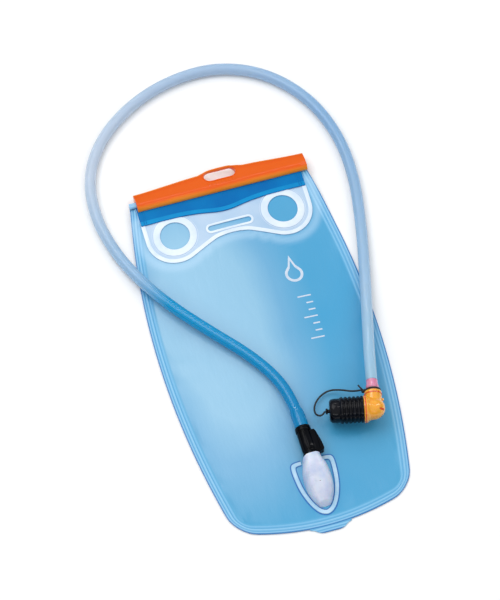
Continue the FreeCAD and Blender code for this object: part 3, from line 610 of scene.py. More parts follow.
def cut_into_squares(piece, step):
    """Bisect the shape along both directions, so that it can bend."""
    xs = [v.co.x for v in piece.data.vertices]
    ys = [v.co.y for v in piece.data.vertices]
    activate(piece)
    bpy.ops.object.mode_set(mode="EDIT")
    for low, high, normal in ((min(xs), max(xs), (1, 0, 0)), (min(ys), max(ys), (0, 1, 0))):
        count = int((high - low) / step)
        for i in range(1, count + 1):
            place = low + (high - low) * i / (count + 1)
            bpy.ops.mesh.select_all(action="SELECT")
            bpy.ops.mesh.bisect(plane_co=[place * n for n in normal], plane_no=normal)
    bpy.ops.object.mode_set(mode="OBJECT")
    return piece


def laid_sheet(name, loops, gap, thickness, step=4 * MM, bevel=0.0, height_at=film_top):
    """A flat shape laid on the film, gap above it, and thickened upwards."""
    piece = cut_into_squares(flat_shape(name, loops), step)
    for vertex in piece.data.vertices:
        vertex.co.z = height_at(vertex.co.x, vertex.co.y) + gap
    clean(piece, 60, 1e-6)
    if sum(face.normal.z * face.area for face in piece.data.polygons) < 0:
        piece.data.flip_normals()
    add_modifier(piece, "SOLIDIFY", thickness=thickness, offset=1.0)
    if bevel:
        add_modifier(piece, "BEVEL", width=bevel, segments=2, limit_method="ANGLE",
                     angle_limit=math.radians(50))
    apply_modifiers(piece)
    bpy.ops.object.shade_smooth_by_angle(angle=math.radians(50))
    return piece


# %% The bottom tab
TAB_X = 1.8 * MM
TAB_TIP = BOTTOM_Y - TAB_DEPTH
TAB_SIDE = [(19 * MM, 5.0 * MM), (16 * MM, 4.6 * MM), (13.5 * MM, 3.0 * MM), (11.5 * MM, 1.4 * MM),
            (9 * MM, 0.3 * MM), (6 * MM, 0.0), (0.0, 0.0)]
tab_right = [(TAB_X + x, TAB_TIP + y) for x, y in TAB_SIDE]
tab_left = [(TAB_X - x, TAB_TIP + y) for x, y in reversed(TAB_SIDE[:-1])]
tab_line = smooth_line_2d([(TAB_X + 19 * MM, TAB_TIP + 12 * MM)] + tab_right + tab_left
                          + [(TAB_X - 19 * MM, TAB_TIP + 12 * MM)])
tab = laid_sheet("pouch_tab", [tab_line[::-1]], 0.02 * MM, 0.9 * MM, step=1.2 * MM, bevel=0.2 * MM,
                 height_at=lambda x, y: 0.0)

# %% [markdown]
# ## The grip panel
# A milky sheet hangs from the mouth in front of the film. It has two finger holes and a slot for
# hanging the bladder up to dry. A white weld band runs along its edge and round each hole, where
# the two plies of the panel are pressed together.

# %% Grip panel
(left_hole_low, left_hole_high) = openings["left_finger_hole"]
LOBE_X = -(left_hole_low[0] + left_hole_high[0]) / 2
LOBE_Y = (left_hole_low[1] + left_hole_high[1]) / 2
slot_low, slot_high = openings["panel_slot"]
SLOT_Y = (slot_low[1] + slot_high[1]) / 2
LOBE_RADIUS = 26 * MM
FINGER_HOLE_RADIUS = 13.1 * MM
RING_RADIUS = 19.2 * MM
PANEL_HALF_WIDTH = LOBE_X + LOBE_RADIUS
BRIDGE_Y = SLIDER_FOOT_Y - 41.5 * MM
SLOT_LENGTH = 39 * MM
SLOT_WIDTH = 5.4 * MM
BAND = 3.5 * MM
PANEL = 0.45 * MM
PANEL_GAP = 0.12 * MM


def panel_edge():
    """The panel's lower edge from its right side to its left, two lobes and the bridge between."""
    bridge_radius = 60 * MM
    right = arc_points(LOBE_X, LOBE_Y, LOBE_RADIUS, 0, -118, 30)
    bridge = arc_points(0, BRIDGE_Y - bridge_radius, bridge_radius, 66, 114, 16)
    left = [(-x, y) for x, y in reversed(right)]
    inner = [p for p in bridge if abs(p[0]) < 17 * MM]
    return right + inner + left


def panel_loop():
    """The panel's outline from its right upper corner, along its lower edge, to its left one."""
    heights = [LIP_Y - i * 2.5 * MM for i in range(13)]
    right = [(PANEL_HALF_WIDTH, y) for y in heights]
    left = [(-PANEL_HALF_WIDTH, y) for y in reversed(heights)]
    return smooth_line_2d(right + panel_edge() + left)


outline = panel_loop()[::-1]
slot_hole = stadium(0, SLOT_Y, SLOT_LENGTH, SLOT_WIDTH)
finger_holes = [circle(side * LOBE_X, LOBE_Y, FINGER_HOLE_RADIUS) for side in (-1, 1)]
grip_panel = laid_sheet("grip_panel", [outline, slot_hole] + finger_holes, PANEL_GAP, PANEL)
print("grip panel faces", len(grip_panel.data.polygons))

# %% Lay the grip panel's weld bands
RING_GAP = PANEL_GAP + PANEL + 0.02 * MM
RING_RISE = 0.4 * MM


def open_offset(points, distance):
    """Move an open line sideways, to its right for a positive distance."""
    moved = []
    for i, (x, y) in enumerate(points):
        ax, ay = points[max(i - 1, 0)]
        bx, by = points[min(i + 1, len(points) - 1)]
        length = math.hypot(bx - ax, by - ay)
        moved.append((x + (by - ay) / length * distance, y - (bx - ax) / length * distance))
    return moved


edge_line = [p for p in panel_loop() if p[1] < SLIDER_FOOT_Y - 12.6 * MM]
band_inner = open_offset(edge_line, BAND)
panel_pieces = [laid_sheet("panel_edge_band", [edge_line + band_inner[::-1]], RING_GAP, RING_RISE,
                           bevel=0.14 * MM)]
for side in (-1, 1):
    name = "panel_ring_left" if side < 0 else "panel_ring_right"
    loops = [circle(side * LOBE_X, LOBE_Y, RING_RADIUS), finger_holes[0 if side < 0 else 1]]
    panel_pieces.append(laid_sheet(name, loops, RING_GAP, RING_RISE, bevel=0.14 * MM))
    halo = [circle(side * LOBE_X, LOBE_Y, RING_RADIUS + 1.3 * MM),
            circle(side * LOBE_X, LOBE_Y, RING_RADIUS + 0.7 * MM)]
    panel_pieces.append(laid_sheet(name + "_line", halo, RING_GAP, 0.15 * MM))
slot_outer = stadium(0, SLOT_Y, SLOT_LENGTH + 4 * MM, SLOT_WIDTH + 4 * MM)
panel_pieces.append(laid_sheet("panel_slot_band", [slot_outer, slot_hole], RING_GAP, RING_RISE,
                               bevel=0.14 * MM))

# %% [markdown]
# ## The folded mouth
# Above the grip panel the pouch's mouth is folded over on itself and held in the slider. Its
# lower edge shows as a deep blue flap, darker than the pouch because several plies lie on each
# other, with a lighter hem where only two plies overlap. The end of the roll sticks out of the
# slider on the left.

# %% Mouth flap and its hem
flap_low, flap_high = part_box("mouth_flap")
FLAP_HALF_WIDTH = flap_high.x
FLAP_DIP = 6.0 * MM
FLAP_EDGE_Y = flap_low.y + FLAP_DIP
FLAP_GAP = 0.80 * MM
FLAP_THICKNESS = 1.0 * MM
HEM = 4.0 * MM


def flap_edge(up):
    """The flap's wavy lower edge from left to right, moved up by up."""
    third = FLAP_HALF_WIDTH / 3
    knots = [(-FLAP_HALF_WIDTH, 0), (-2 * third, 0.3 * MM), (-third, -FLAP_DIP / 5), (0, -FLAP_DIP * 1.1),
             (third, -FLAP_DIP / 5), (2 * third, 0.3 * MM), (FLAP_HALF_WIDTH, 0)]
    line = smooth_line("flap_line", [(x, FLAP_EDGE_Y + y + up, 0) for x, y in knots], 12)
    return [(p.x, p.y) for p in line]


top_corners = [(FLAP_HALF_WIDTH, LIP_Y), (-FLAP_HALF_WIDTH, LIP_Y)]
mouth_flap = laid_sheet("folded_mouth", [flap_edge(0) + top_corners], FLAP_GAP, FLAP_THICKNESS,
                        bevel=0.3 * MM)
hem_loop = flap_edge(0.25 * MM) + flap_edge(HEM)[::-1]
flap_hem = laid_sheet("folded_mouth_hem", [hem_loop], FLAP_GAP + FLAP_THICKNESS, 0.12 * MM)
flap_welds = []
WELD_LINE = 0.8 * MM
for side, name in ((-1, "left"), (1, "right")):
    for row in (3.2, 5.2):
        x = side * (FLAP_HALF_WIDTH - row * MM)
        loop = [(x - WELD_LINE / 2, FLAP_EDGE_Y + 1 * MM), (x + WELD_LINE / 2, FLAP_EDGE_Y + 1 * MM),
                (x + WELD_LINE / 2, LIP_Y), (x - WELD_LINE / 2, LIP_Y)]
        flap_welds.append(laid_sheet(f"mouth_weld_{name}_{int(row)}", [loop],
                                     FLAP_GAP + FLAP_THICKNESS, 0.3 * MM, step=3 * MM))

# %% Rolled end of the mouth
fold_mid_z = (fold_low.z + fold_high.z) / 2
PLY = 0.6 * MM


def folded_plies():
    """Path of the film's section in the roll, as (y, z): three plies and the two turns round the rods."""
    centre_y = (fold_low.y + fold_high.y) / 2
    turn = (fold_high.z - fold_low.z - PLY) / 4
    front = centre_y + 0.6 * MM
    rear = centre_y - 0.6 * MM
    path = [(fold_low.y + 0.2 * MM, fold_low.z + PLY / 2)]
    path += arc_points(front, fold_mid_z - turn, turn, -90, 90, 14)
    path += arc_points(rear, fold_mid_z + turn, turn, 270, 90, 14)
    path.append((fold_high.y - 0.5 * MM, fold_high.z - PLY / 2))
    return path


ply_path = folded_plies()
left_line = open_offset(ply_path, PLY / 2)
right_line = open_offset(ply_path, -PLY / 2)
section = left_line + right_line[::-1]
fold_roll = flat_shape("rolled_mouth", [section])
fold_roll.data.transform(Matrix(((0, 0, 1, 0), (1, 0, 0, 0), (0, 1, 0, 0), (0, 0, 0, 1))))
activate(fold_roll)
bpy.ops.object.mode_set(mode="EDIT")
bpy.ops.mesh.select_all(action="SELECT")
bpy.ops.mesh.extrude_region_move(TRANSFORM_OT_translate={"value": (fold_high.x - fold_low.x, 0, 0)})
bpy.ops.object.mode_set(mode="OBJECT")
fold_roll.data.transform(Matrix.Translation((fold_low.x, 0, 0)))
clean(fold_roll, 40)
print("fold roll", len(fold_roll.data.polygons))

# %% [markdown]
# ## The slider
# The slider is an injection-moulded clip: a C-shaped bar that grips the roll, thick along its
# lower edge, thinning to a tab with an oval hang hole. Its section is drawn once, extruded along
# the bar, cut into slices with Bisect, and then the slices' upper points are pulled out so that
# the upper edge swells over the hang hole. The hole is cut with a Boolean and its edge bevelled.

# %% Slider section
SLIDER_LEFT = slider_low.x
SLIDER_RIGHT = slider_high.x
SLIDER_HEIGHT = 12.0 * MM
SLIDER_MID_Z = SLIDER_HEIGHT / 2
END_DEPTH = 17.5 * MM
HUMP_DEPTH = slider_high.y - slider_low.y
hang_low, hang_high = openings["slider_hang_hole"]
HANG_X = (hang_low[0] + hang_high[0]) / 2
HANG_Y = (hang_low[1] + hang_high[1]) / 2
HANG_LENGTH = 28.5 * MM
HANG_WIDTH = 11.0 * MM
HUMP_LEFT = 18.75 * MM
HUMP_RIGHT = 21.25 * MM


def slider_section():
    """(depth above the lower edge, height) round the C, millimetres."""
    upper = [(0.0, 8.2), (0.35, 9.7), (1.3, 11.1), (2.9, 11.85), (4.6, 12.0), (6.4, 11.75), (8.2, 11.3),
             (9.6, 10.9), (12.2, 10.15), (14.6, 9.5), (16.2, 9.1), (17.0, 8.6), (17.4, 7.7), (17.5, 6.6)]
    lower = [(depth, 12.0 - height) for depth, height in upper[::-1]]
    inside = [(0.0, 4.2), (4.6, 4.2), (4.6, 2.4), (10.2, 2.4), (10.2, 9.6), (4.6, 9.6), (4.6, 7.8),
              (0.0, 7.8)]
    return upper + lower + inside


def slider_edge(x):
    """How deep the slider is at x."""
    start = HANG_X - HUMP_LEFT
    stop = HANG_X + HUMP_RIGHT
    foot = END_DEPTH + 0.55 * (HUMP_DEPTH - END_DEPTH)
    if x < start:
        return END_DEPTH + (foot - END_DEPTH) * smoothstep((x - SLIDER_LEFT) / (start - SLIDER_LEFT)) * 0.6 \
            + (foot - END_DEPTH) * (x - SLIDER_LEFT) / (start - SLIDER_LEFT) * 0.4
    if x > stop:
        share = (SLIDER_RIGHT - x) / (SLIDER_RIGHT - stop)
        return END_DEPTH + (foot - END_DEPTH) * (0.6 * smoothstep(share) + 0.4 * share)
    share = (x - start) / (stop - start)
    return foot + (HUMP_DEPTH - foot) * math.sin(math.pi * share) ** 0.8


SHOULDER = 10.4 * MM


def tab_thinning(depth):
    """The tab over the hang hole gets thinner towards the hump."""
    return 1 - 0.4 * smoothstep((depth - 13 * MM) / (11 * MM))


section = [(SLIDER_FOOT_Y + depth * MM, height * MM) for depth, height in slider_section()]
slider = flat_shape("slider", [section])
slider.data.transform(Matrix(((0, 0, 1, 0), (1, 0, 0, 0), (0, 1, 0, 0), (0, 0, 0, 1))))
activate(slider)
bpy.ops.object.mode_set(mode="EDIT")
bpy.ops.mesh.select_all(action="SELECT")
bpy.ops.mesh.extrude_region_move(TRANSFORM_OT_translate={"value": (SLIDER_RIGHT - SLIDER_LEFT, 0, 0)})
for i in range(1, 70):
    place = (SLIDER_RIGHT - SLIDER_LEFT) * i / 70
    bpy.ops.mesh.select_all(action="SELECT")
    bpy.ops.mesh.bisect(plane_co=(place, 0, 0), plane_no=(1, 0, 0))
bpy.ops.object.mode_set(mode="OBJECT")
slider.data.transform(Matrix.Translation((SLIDER_LEFT, 0, 0)))
for vertex in slider.data.vertices:
    depth = vertex.co.y - SLIDER_FOOT_Y
    x = vertex.co.x
    if depth > SHOULDER:
        stretch = (slider_edge(x) - SHOULDER) / (END_DEPTH - SHOULDER)
        depth = SHOULDER + (depth - SHOULDER) * stretch
        vertex.co.y = SLIDER_FOOT_Y + depth
        vertex.co.z = SLIDER_MID_Z + (vertex.co.z - SLIDER_MID_Z) * tab_thinning(depth)
    # the ends flare into a low rim
    inside = min(x - SLIDER_LEFT, SLIDER_RIGHT - x)
    flare = 1 - smoothstep((inside - 1.2 * MM) / (2.6 * MM))
    if flare > 0 and depth > 2 * MM and vertex.co.z > 9.8 * MM:
        vertex.co.z += 0.8 * MM * flare
clean(slider, 40)


# %% Cut the hang hole
def stadium_cutter(name, length, width, place, depth):
    cutter = flat_shape(name, [stadium(0, 0, length, width)])
    activate(cutter)
    bpy.ops.object.mode_set(mode="EDIT")
    bpy.ops.mesh.select_all(action="SELECT")
    bpy.ops.mesh.extrude_region_move(TRANSFORM_OT_translate={"value": (0, 0, depth)})
    bpy.ops.mesh.normals_make_consistent(inside=False)
    bpy.ops.object.mode_set(mode="OBJECT")
    cutter.data.transform(Matrix.Translation(place))
    return cutter


def cut_away(piece, cutter, operation="DIFFERENCE"):
    """Boolean with a cutter, which is thrown away."""
    add_modifier(piece, "BOOLEAN", operation=operation, object=cutter, solver="EXACT")
    apply_modifiers(piece)
    bpy.data.objects.remove(cutter)
    return piece


cut_away(slider, stadium_cutter("hang_hole", HANG_LENGTH, HANG_WIDTH, (HANG_X, HANG_Y, -10 * MM), 40 * MM))
add_modifier(slider, "BEVEL", width=0.45 * MM, segments=3, limit_method="ANGLE", angle_limit=math.radians(48))
apply_modifiers(slider)
clean(slider, 40, 1e-7)
print("slider faces", len(slider.data.polygons))

# %% Rim round the hang hole and grip ribs
rim_loops = [stadium(HANG_X, HANG_Y, HANG_LENGTH + 2.6 * MM, HANG_WIDTH + 2.6 * MM),
             stadium(HANG_X, HANG_Y, HANG_LENGTH + 1.0 * MM, HANG_WIDTH + 1.0 * MM)]


def slider_top(x, y):
    """Height of the slider's upper face."""
    depth = y - SLIDER_FOOT_Y
    thin = tab_thinning(depth) if depth > SHOULDER else 1.0
    if depth > SHOULDER:
        stretch = (slider_edge(x) - SHOULDER) / (END_DEPTH - SHOULDER)
        depth = SHOULDER + (depth - SHOULDER) / stretch
    rows = slider_section()[:14]
    height = rows[-1][1] * MM
    for (d0, z0), (d1, z1) in zip(rows, rows[1:]):
        if d0 * MM <= depth <= d1 * MM:
            height = (z0 + (z1 - z0) * (depth / MM - d0) / (d1 - d0)) * MM
    return SLIDER_MID_Z + (height - SLIDER_MID_Z) * thin


hole_rim = laid_sheet("slider_hole_rim", rim_loops, -0.05 * MM, 0.45 * MM, step=2 * MM, bevel=0.15 * MM,
                      height_at=slider_top)
ribs = []
for i in range(9):
    x = HANG_X + (i - 4) * 3.1 * MM
    rib = stadium(0, 0, 3.2 * MM, 1.1 * MM)
    loop = [(x + py, SLIDER_FOOT_Y + 7.6 * MM + px) for px, py in rib]
    ribs.append(laid_sheet(f"slider_rib_{i}", [loop], -0.05 * MM, 0.32 * MM, step=1.5 * MM, bevel=0.12 * MM,
                           height_at=slider_top))
slider_grip = join("slider_grip_ribs", ribs)


# %% [markdown]
# ## The outlet
# The outlet is a teardrop pod of frosted plastic, welded to the back film through a window in the
# front film. It is widest at its shoulders and runs out to a low rounded tip. Rings across it are
# shaped as superellipses, which have the rounded-box section of a moulded part, and a grid is
# bent over them. The socket for the connector is then cut with a Boolean.

# %% Outlet pod
POD_LENGTH = pod_high.y - pod_low.y
POD_BASE = 0.7 * MM
POD_ROOF = pod_high.z
pod_line = smooth_line("pod_side", [
    (0, 8.3, 0), (2.5, 8.4, 0), (5, 9.4, 0), (9, 11.0, 0), (14, 11.8, 0), (20, 12.1, 0), (26.5, 11.7, 0),
    (32.5, 10.2, 0), (38, 7.6, 0), (42.2, 5.0, 0), (43.0, 2.2, 0), (43.0, 0, 0)], 8)
pod_side = [(p.x * MM, p.y * MM) for p in pod_line]


def pod_half_width(depth):
    """Half width of the pod at a depth from its mouth."""
    for (d0, w0), (d1, w1) in zip(pod_side, pod_side[1:]):
        if depth <= d1:
            return w0 + (w1 - w0) * (depth - d0) / max(d1 - d0, 1e-9)
    return 0.0


def pod_roof(depth):
    """Height of the pod's ridge at a depth from its mouth."""
    share = max(0.0, min(1.0, depth / POD_LENGTH))
    return POD_ROOF - 1.2 * MM * math.sin(math.pi * share) - (POD_ROOF - 7.5 * MM) * share ** 2.6


POD_ACROSS = 40
POD_ALONG = 60
deselect()
bpy.ops.mesh.primitive_grid_add(x_subdivisions=POD_ACROSS, y_subdivisions=POD_ALONG, size=1.0)
pod = bpy.context.object
pod.name = "outlet_pod"
for vertex in pod.data.vertices:
    turn = math.pi * (vertex.co.x + 0.5)
    share = 1 - (vertex.co.y + 0.5)
    depth = POD_LENGTH * (1 - (1 - share) ** 1.6)
    width = max(pod_half_width(depth), 0.02 * MM)
    roof = pod_roof(depth) - 5.0 * MM * smoothstep((depth - 40 * MM) / (3 * MM))
    power = 2 / 3.4
    across = math.copysign(abs(math.cos(turn)) ** power, -math.cos(turn))
    rise = abs(math.sin(turn)) ** power
    vertex.co = (OUTLET_X + across * width, OUTLET_MOUTH_Y - depth, POD_BASE + rise * (roof - POD_BASE))


def close_row(piece, y):
    """Fill the flat outline that the vertices at y make."""
    activate(piece)
    bpy.ops.object.mode_set(mode="EDIT")
    bpy.ops.mesh.select_mode(type="VERT")
    bpy.ops.mesh.select_all(action="DESELECT")
    bpy.ops.object.mode_set(mode="OBJECT")
    for vertex in piece.data.vertices:
        vertex.select = abs(vertex.co.y - y) < 1e-6
    bpy.ops.object.mode_set(mode="EDIT")
    bpy.ops.mesh.edge_face_add()
    bpy.ops.object.mode_set(mode="OBJECT")


def enclosed_volume(piece):
    """Signed volume in cubic metres: negative if the faces point inwards."""
    shape = bmesh.new()
    shape.from_mesh(piece.data)
    volume = shape.calc_volume(signed=True)
    shape.free()
    return volume


# The mouth and the tip are flat faces of their own, and the base closes what is left.
close_row(pod, OUTLET_MOUTH_Y)
close_row(pod, OUTLET_MOUTH_Y - POD_LENGTH)
activate(pod)
bpy.ops.object.mode_set(mode="EDIT")
bpy.ops.mesh.select_all(action="DESELECT")
bpy.ops.mesh.select_mode(type="EDGE")
bpy.ops.mesh.select_non_manifold()
bpy.ops.mesh.edge_face_add()
bpy.ops.object.mode_set(mode="OBJECT")
clean(pod, 50, 1e-7)
print("pod volume, closed", round(enclosed_volume(pod) * 1e9), "mm3")


def round_cutter(radius, start, stop, base, way, steps=64):
    """A cylinder for Booleans, from start to stop along way."""
    deselect()
    bpy.ops.mesh.primitive_cylinder_add(vertices=steps, radius=radius, depth=stop - start)
    cutter = bpy.context.object
    cutter.data.transform(placement(Vector(base) + Vector(way) * (start + stop) / 2, way))
    return cutter


outlet_mouth = Vector((OUTLET_X, OUTLET_MOUTH_Y, OUTLET_Z))
OUT = Vector((0, 1, 0))
cut_away(pod, round_cutter(6.75 * MM, -4.3 * MM, 1 * MM, outlet_mouth, OUT))
cut_away(pod, round_cutter(4.9 * MM, -12.3 * MM, -3 * MM, outlet_mouth, OUT))
add_modifier(pod, "BEVEL", width=0.5 * MM, segments=3, limit_method="ANGLE", angle_limit=math.radians(55))
apply_modifiers(pod)
clean(pod, 40, 1e-7)
print("pod faces", len(pod.data.polygons), "volume", round(enclosed_volume(pod) * 1e9), "mm3")

# %% Weld round the outlet
WELD_OUTER = [(9.4, 1.6), (14.6, 1.6), (17.9, 0.4), (18.9, -3.5), (18.6, -12), (17.2, -24),
              (13.6, -35.5), (8.6, -44.5), (3.4, -49.2), (0, -49.6)]
WELD_INNER = [(9.4, -1.4), (13.2, -1.4), (15.1, -2.4), (15.7, -5.5), (15.4, -12), (14.2, -23),
              (11.0, -33.5), (6.6, -41.6), (2.6, -45.6), (0, -46.2)]


def weld_side(points, grow):
    """Right half of a shield-shaped line round the pod, from its mouth to its tip, grown by grow."""
    line = smooth_line_2d([(OUTLET_X + x * MM, OUTLET_MOUTH_Y + y * MM) for x, y in points])
    return open_offset(line, -grow)


def weld_loop(outer, inner):
    """Band between two such lines, right and left."""
    right_outer = weld_side(*outer)
    right_inner = weld_side(*inner)
    mirror = [[(2 * OUTLET_X - x, y) for x, y in side] for side in (right_outer, right_inner)]
    return right_outer + mirror[0][::-1] + mirror[1] + right_inner[::-1]


weld_band = laid_sheet("outlet_weld", [weld_loop((WELD_OUTER, 0), (WELD_INNER, 0))], 0.1 * MM, 0.5 * MM,
                       step=3 * MM, bevel=0.16 * MM)
weld_lines = [
    laid_sheet("outlet_weld_outer_line", [weld_loop((WELD_OUTER, 1.2 * MM), (WELD_OUTER, 0.3 * MM))],
               0.02 * MM, 0.2 * MM, step=3 * MM),
    laid_sheet("outlet_weld_inner_line", [weld_loop((WELD_INNER, -0.3 * MM), (WELD_INNER, -1.0 * MM))],
               0.02 * MM, 0.2 * MM, step=3 * MM),
]

# %% Open the film's window round the outlet
window = bmesh.new()
window.from_mesh(front_film.data)
inside_pod = []
for face in window.faces:
    middle = face.calc_center_median()
    depth = OUTLET_MOUTH_Y - middle.y
    if 0 < depth < POD_LENGTH and abs(middle.x - OUTLET_X) < pod_half_width(depth) - 3.2 * MM:
        inside_pod.append(face)
bmesh.ops.delete(window, geom=inside_pod, context="FACES")
window.to_mesh(front_film.data)
window.free()
# The hole has an upper and a lower rim, and a wall between them closes the film's cut edge.
activate(front_film)
bpy.ops.object.mode_set(mode="EDIT")
bpy.ops.mesh.select_mode(type="EDGE")
bpy.ops.mesh.select_all(action="DESELECT")
bpy.ops.mesh.select_non_manifold(extend=False, use_wire=False, use_multi_face=False, use_non_contiguous=False,
                                 use_verts=False)
bpy.ops.mesh.bridge_edge_loops()
bpy.ops.object.mode_set(mode="OBJECT")
clean(front_film, 60, 1e-7)
print("front film volume", round(enclosed_volume(front_film) * 1e9), "mm3")

# %% [markdown]
# ## The connector
# The connector is glossy black: a barrel with a lip where it meets the outlet, a waist, a ribbed
# collar over the tube's barb, and a housing on its side with a wedge-shaped release button. The
# barrel is turned, and the housing and button are bevelled blocks. The button's face carries a
# small thumb dimple.

# %% Barrel and collar
def metres(rows):
    return [(along * MM, radius * MM) for along, radius in rows]


barrel = turned("connector", metres([
    (-12.0, 0.0), (-12.0, 4.4), (-11.6, 4.7), (-8.6, 4.7), (-8.4, 3.7), (-6.8, 3.7), (-6.6, 4.7),
    (-4.0, 4.7), (-4.0, 6.3), (-3.7, 6.6), (0.9, 6.6), (1.1, 6.75), (2.4, 6.75), (2.7, 6.5), (3.2, 6.2),
    (4.2, 6.2), (4.7, 6.45), (14.5, 6.55), (21.6, 6.45), (22.0, 6.1), (22.8, 6.1), (23.2, 6.6), (23.5, 6.8),
    (24.3, 6.9), (27.3, 6.85), (27.8, 6.6), (28.0, 6.2), (28.0, 3.9), (8.0, 3.9), (8.0, 1.5), (-12.0, 1.5),
    (-12.0, 0.0)][:-1]), outlet_mouth, OUT, 96, 30)


# %% Housing and release button
def block(name, low, high, bevel, segments=3):
    """A box between two corners with rounded edges."""
    deselect()
    middle = [(a + b) / 2 for a, b in zip(low, high)]
    size = [b - a for a, b in zip(low, high)]
    bpy.ops.mesh.primitive_cube_add(size=1.0, location=middle, scale=size)
    bpy.ops.object.transform_apply(location=True, rotation=True, scale=True)
    piece = bpy.context.object
    piece.name = name
    add_modifier(piece, "BEVEL", width=bevel, segments=segments)
    return clean(apply_modifiers(piece), 40)


button_low, button_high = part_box("release_button")
housing_low_y = OUTLET_MOUTH_Y + 0.5 * MM
housing_high_y = button_high.y + 1.2 * MM
housing = block("connector_housing", (OUTLET_X + 1 * MM, housing_low_y, OUTLET_Z - 4.7 * MM),
                (OUTLET_X + 9.0 * MM, housing_high_y, OUTLET_Z + 4.7 * MM), 1.1 * MM, 4)
pocket = block("pocket", (OUTLET_X + 5.2 * MM, button_low.y - 0.15 * MM, OUTLET_Z - 3.65 * MM),
               (OUTLET_X + 12 * MM, button_high.y + 0.15 * MM, OUTLET_Z + 3.65 * MM), 0.5 * MM)
cut_away(housing, pocket)
clean(housing, 40)
spine = block("connector_spine", (OUTLET_X - 1.3 * MM, OUTLET_MOUTH_Y + 4.4 * MM, OUTLET_Z + 5.6 * MM),
              (OUTLET_X + 1.3 * MM, OUTLET_MOUTH_Y + 21.4 * MM, OUTLET_Z + 7.0 * MM), 0.5 * MM)
connector = join("connector", [barrel, housing, spine])

# The inner face stands back by a little more than the button's travel, so that the pressed
# button stays clear of the connector and its spring.
PRESS_ROOM = 1.9 * MM
button_inner = button_low.x + PRESS_ROOM
print("button reach", round((button_high.x - button_inner) / MM, 2), "mm")
button_section = [
    (button_inner, button_low.y), (button_high.x - 1.7 * MM, button_low.y),
    (button_high.x - 0.5 * MM, button_low.y + 0.7 * MM), (button_high.x, button_low.y + 2 * MM),
    (button_high.x - 0.25 * MM, button_low.y + 5 * MM), (button_high.x - 0.7 * MM, button_low.y + 9 * MM),
    (button_high.x - 1.7 * MM, button_low.y + 14 * MM), (OUTLET_X + 9.35 * MM, button_high.y),
    (button_inner, button_high.y)]
button = flat_shape("release_button_wedge", [button_section])
activate(button)
bpy.ops.object.mode_set(mode="EDIT")
bpy.ops.mesh.select_all(action="SELECT")
bpy.ops.mesh.extrude_region_move(TRANSFORM_OT_translate={"value": (0, 0, button_high.z - button_low.z)})
bpy.ops.object.mode_set(mode="OBJECT")
button.data.transform(Matrix.Translation((0, 0, button_low.z)))
clean(button, 30)
deselect()
bpy.ops.mesh.primitive_uv_sphere_add(segments=32, ring_count=16, radius=6 * MM)
dimple = bpy.context.object
dimple.data.transform(Matrix.Translation((button_high.x + 5.2 * MM, button_low.y + 4.6 * MM, OUTLET_Z)))
cut_away(button, dimple)
add_modifier(button, "BEVEL", width=0.4 * MM, segments=3, limit_method="ANGLE", angle_limit=math.radians(35))
apply_modifiers(button)
clean(button, 35)
print("connector", len(connector.data.polygons), "button", len(button.data.polygons))

# %% Barbed stem inside the tube
stem = turned("tube_barb", metres([
    (8.2, 1.5), (8.2, 3.8), (27.8, 3.8), (28.2, 4.3), (31.5, 4.3), (31.8, 3.9), (34.4, 4.35), (34.8, 3.9),
    (37.4, 4.3), (37.8, 3.8), (41.0, 3.9), (43.4, 2.9), (43.9, 2.4), (43.9, 1.5)]), outlet_mouth, OUT, 64, 40)

# %% [markdown]
# ## The bite valve
# At the tube's far end a pink stem carries an amber elbow that swivels. The elbow is one smooth
# moulding: a sleeve, a round knee and a flange, so simple solids are joined, fused with a voxel
# Remesh and softened with Smooth, which leaves the flowing inner corners of a moulding. The
# mouthpiece twists in it, under a ribbed rubber dust cap.

# %% Elbow
ELBOW_UP = Vector((0, 0, 1))


def along_valve(cap, tube, up=0.0):
    """A place given along the cap's axis, the tube's axis and up, in millimetres."""
    return VALVE + CAP_WAY * (cap * MM) + TUBE_WAY * (tube * MM) + ELBOW_UP * (up * MM)


parts = [
    turned("sleeve", metres([(-1, 0), (-1, 7.4), (13.8, 7.4), (14.2, 7.6), (15.6, 7.6), (15.6, 0)]),
           VALVE, TUBE_WAY, 64),
    turned("knee", metres([(-9.4, 0), (-9.0, 3.2), (-7.6, 5.8), (-5.0, 8.1), (-2.0, 9.3), (1.0, 9.6),
                           (3.5, 9.9), (5.6, 11.2), (5.9, 11.9), (8.7, 11.9), (9.0, 11.6), (9.0, 0)]),
           VALVE, CAP_WAY, 64),
    turned("knee_end", metres([(-9.4, 0), (-9.0, 3.0), (-7.4, 5.6), (-4.6, 7.6), (-1.0, 8.8), (3, 8.6),
                               (6, 7.6), (6, 0)]), VALVE, TUBE_WAY, 64),
]
elbow = join("elbow", parts)
add_modifier(elbow, "REMESH", mode="VOXEL", voxel_size=0.42 * MM)
add_modifier(elbow, "SMOOTH", factor=0.6, iterations=7)
apply_modifiers(elbow)
cut_away(elbow, round_cutter(5.2 * MM, 5.4 * MM, 20 * MM, VALVE, TUBE_WAY))
cut_away(elbow, round_cutter(5.0 * MM, -3 * MM, 12 * MM, VALVE, CAP_WAY))
recess = round_cutter(1.5 * MM, -0.7 * MM, 3 * MM, along_valve(-1.5, 0.5, 9.3), ELBOW_UP, 32)
cut_away(elbow, recess)
slot_cut = block("slot", (-2.6 * MM, -0.8 * MM, -0.8 * MM), (2.6 * MM, 0.8 * MM, 1.4 * MM), 0.3 * MM)
slot_cut.data.transform(placement(along_valve(-6.0, -3.6, 5.8), Vector((0.45, -0.45, 0.77)), TUBE_WAY))
cut_away(elbow, slot_cut)
bpy.ops.object.shade_smooth_by_angle(angle=math.radians(40))

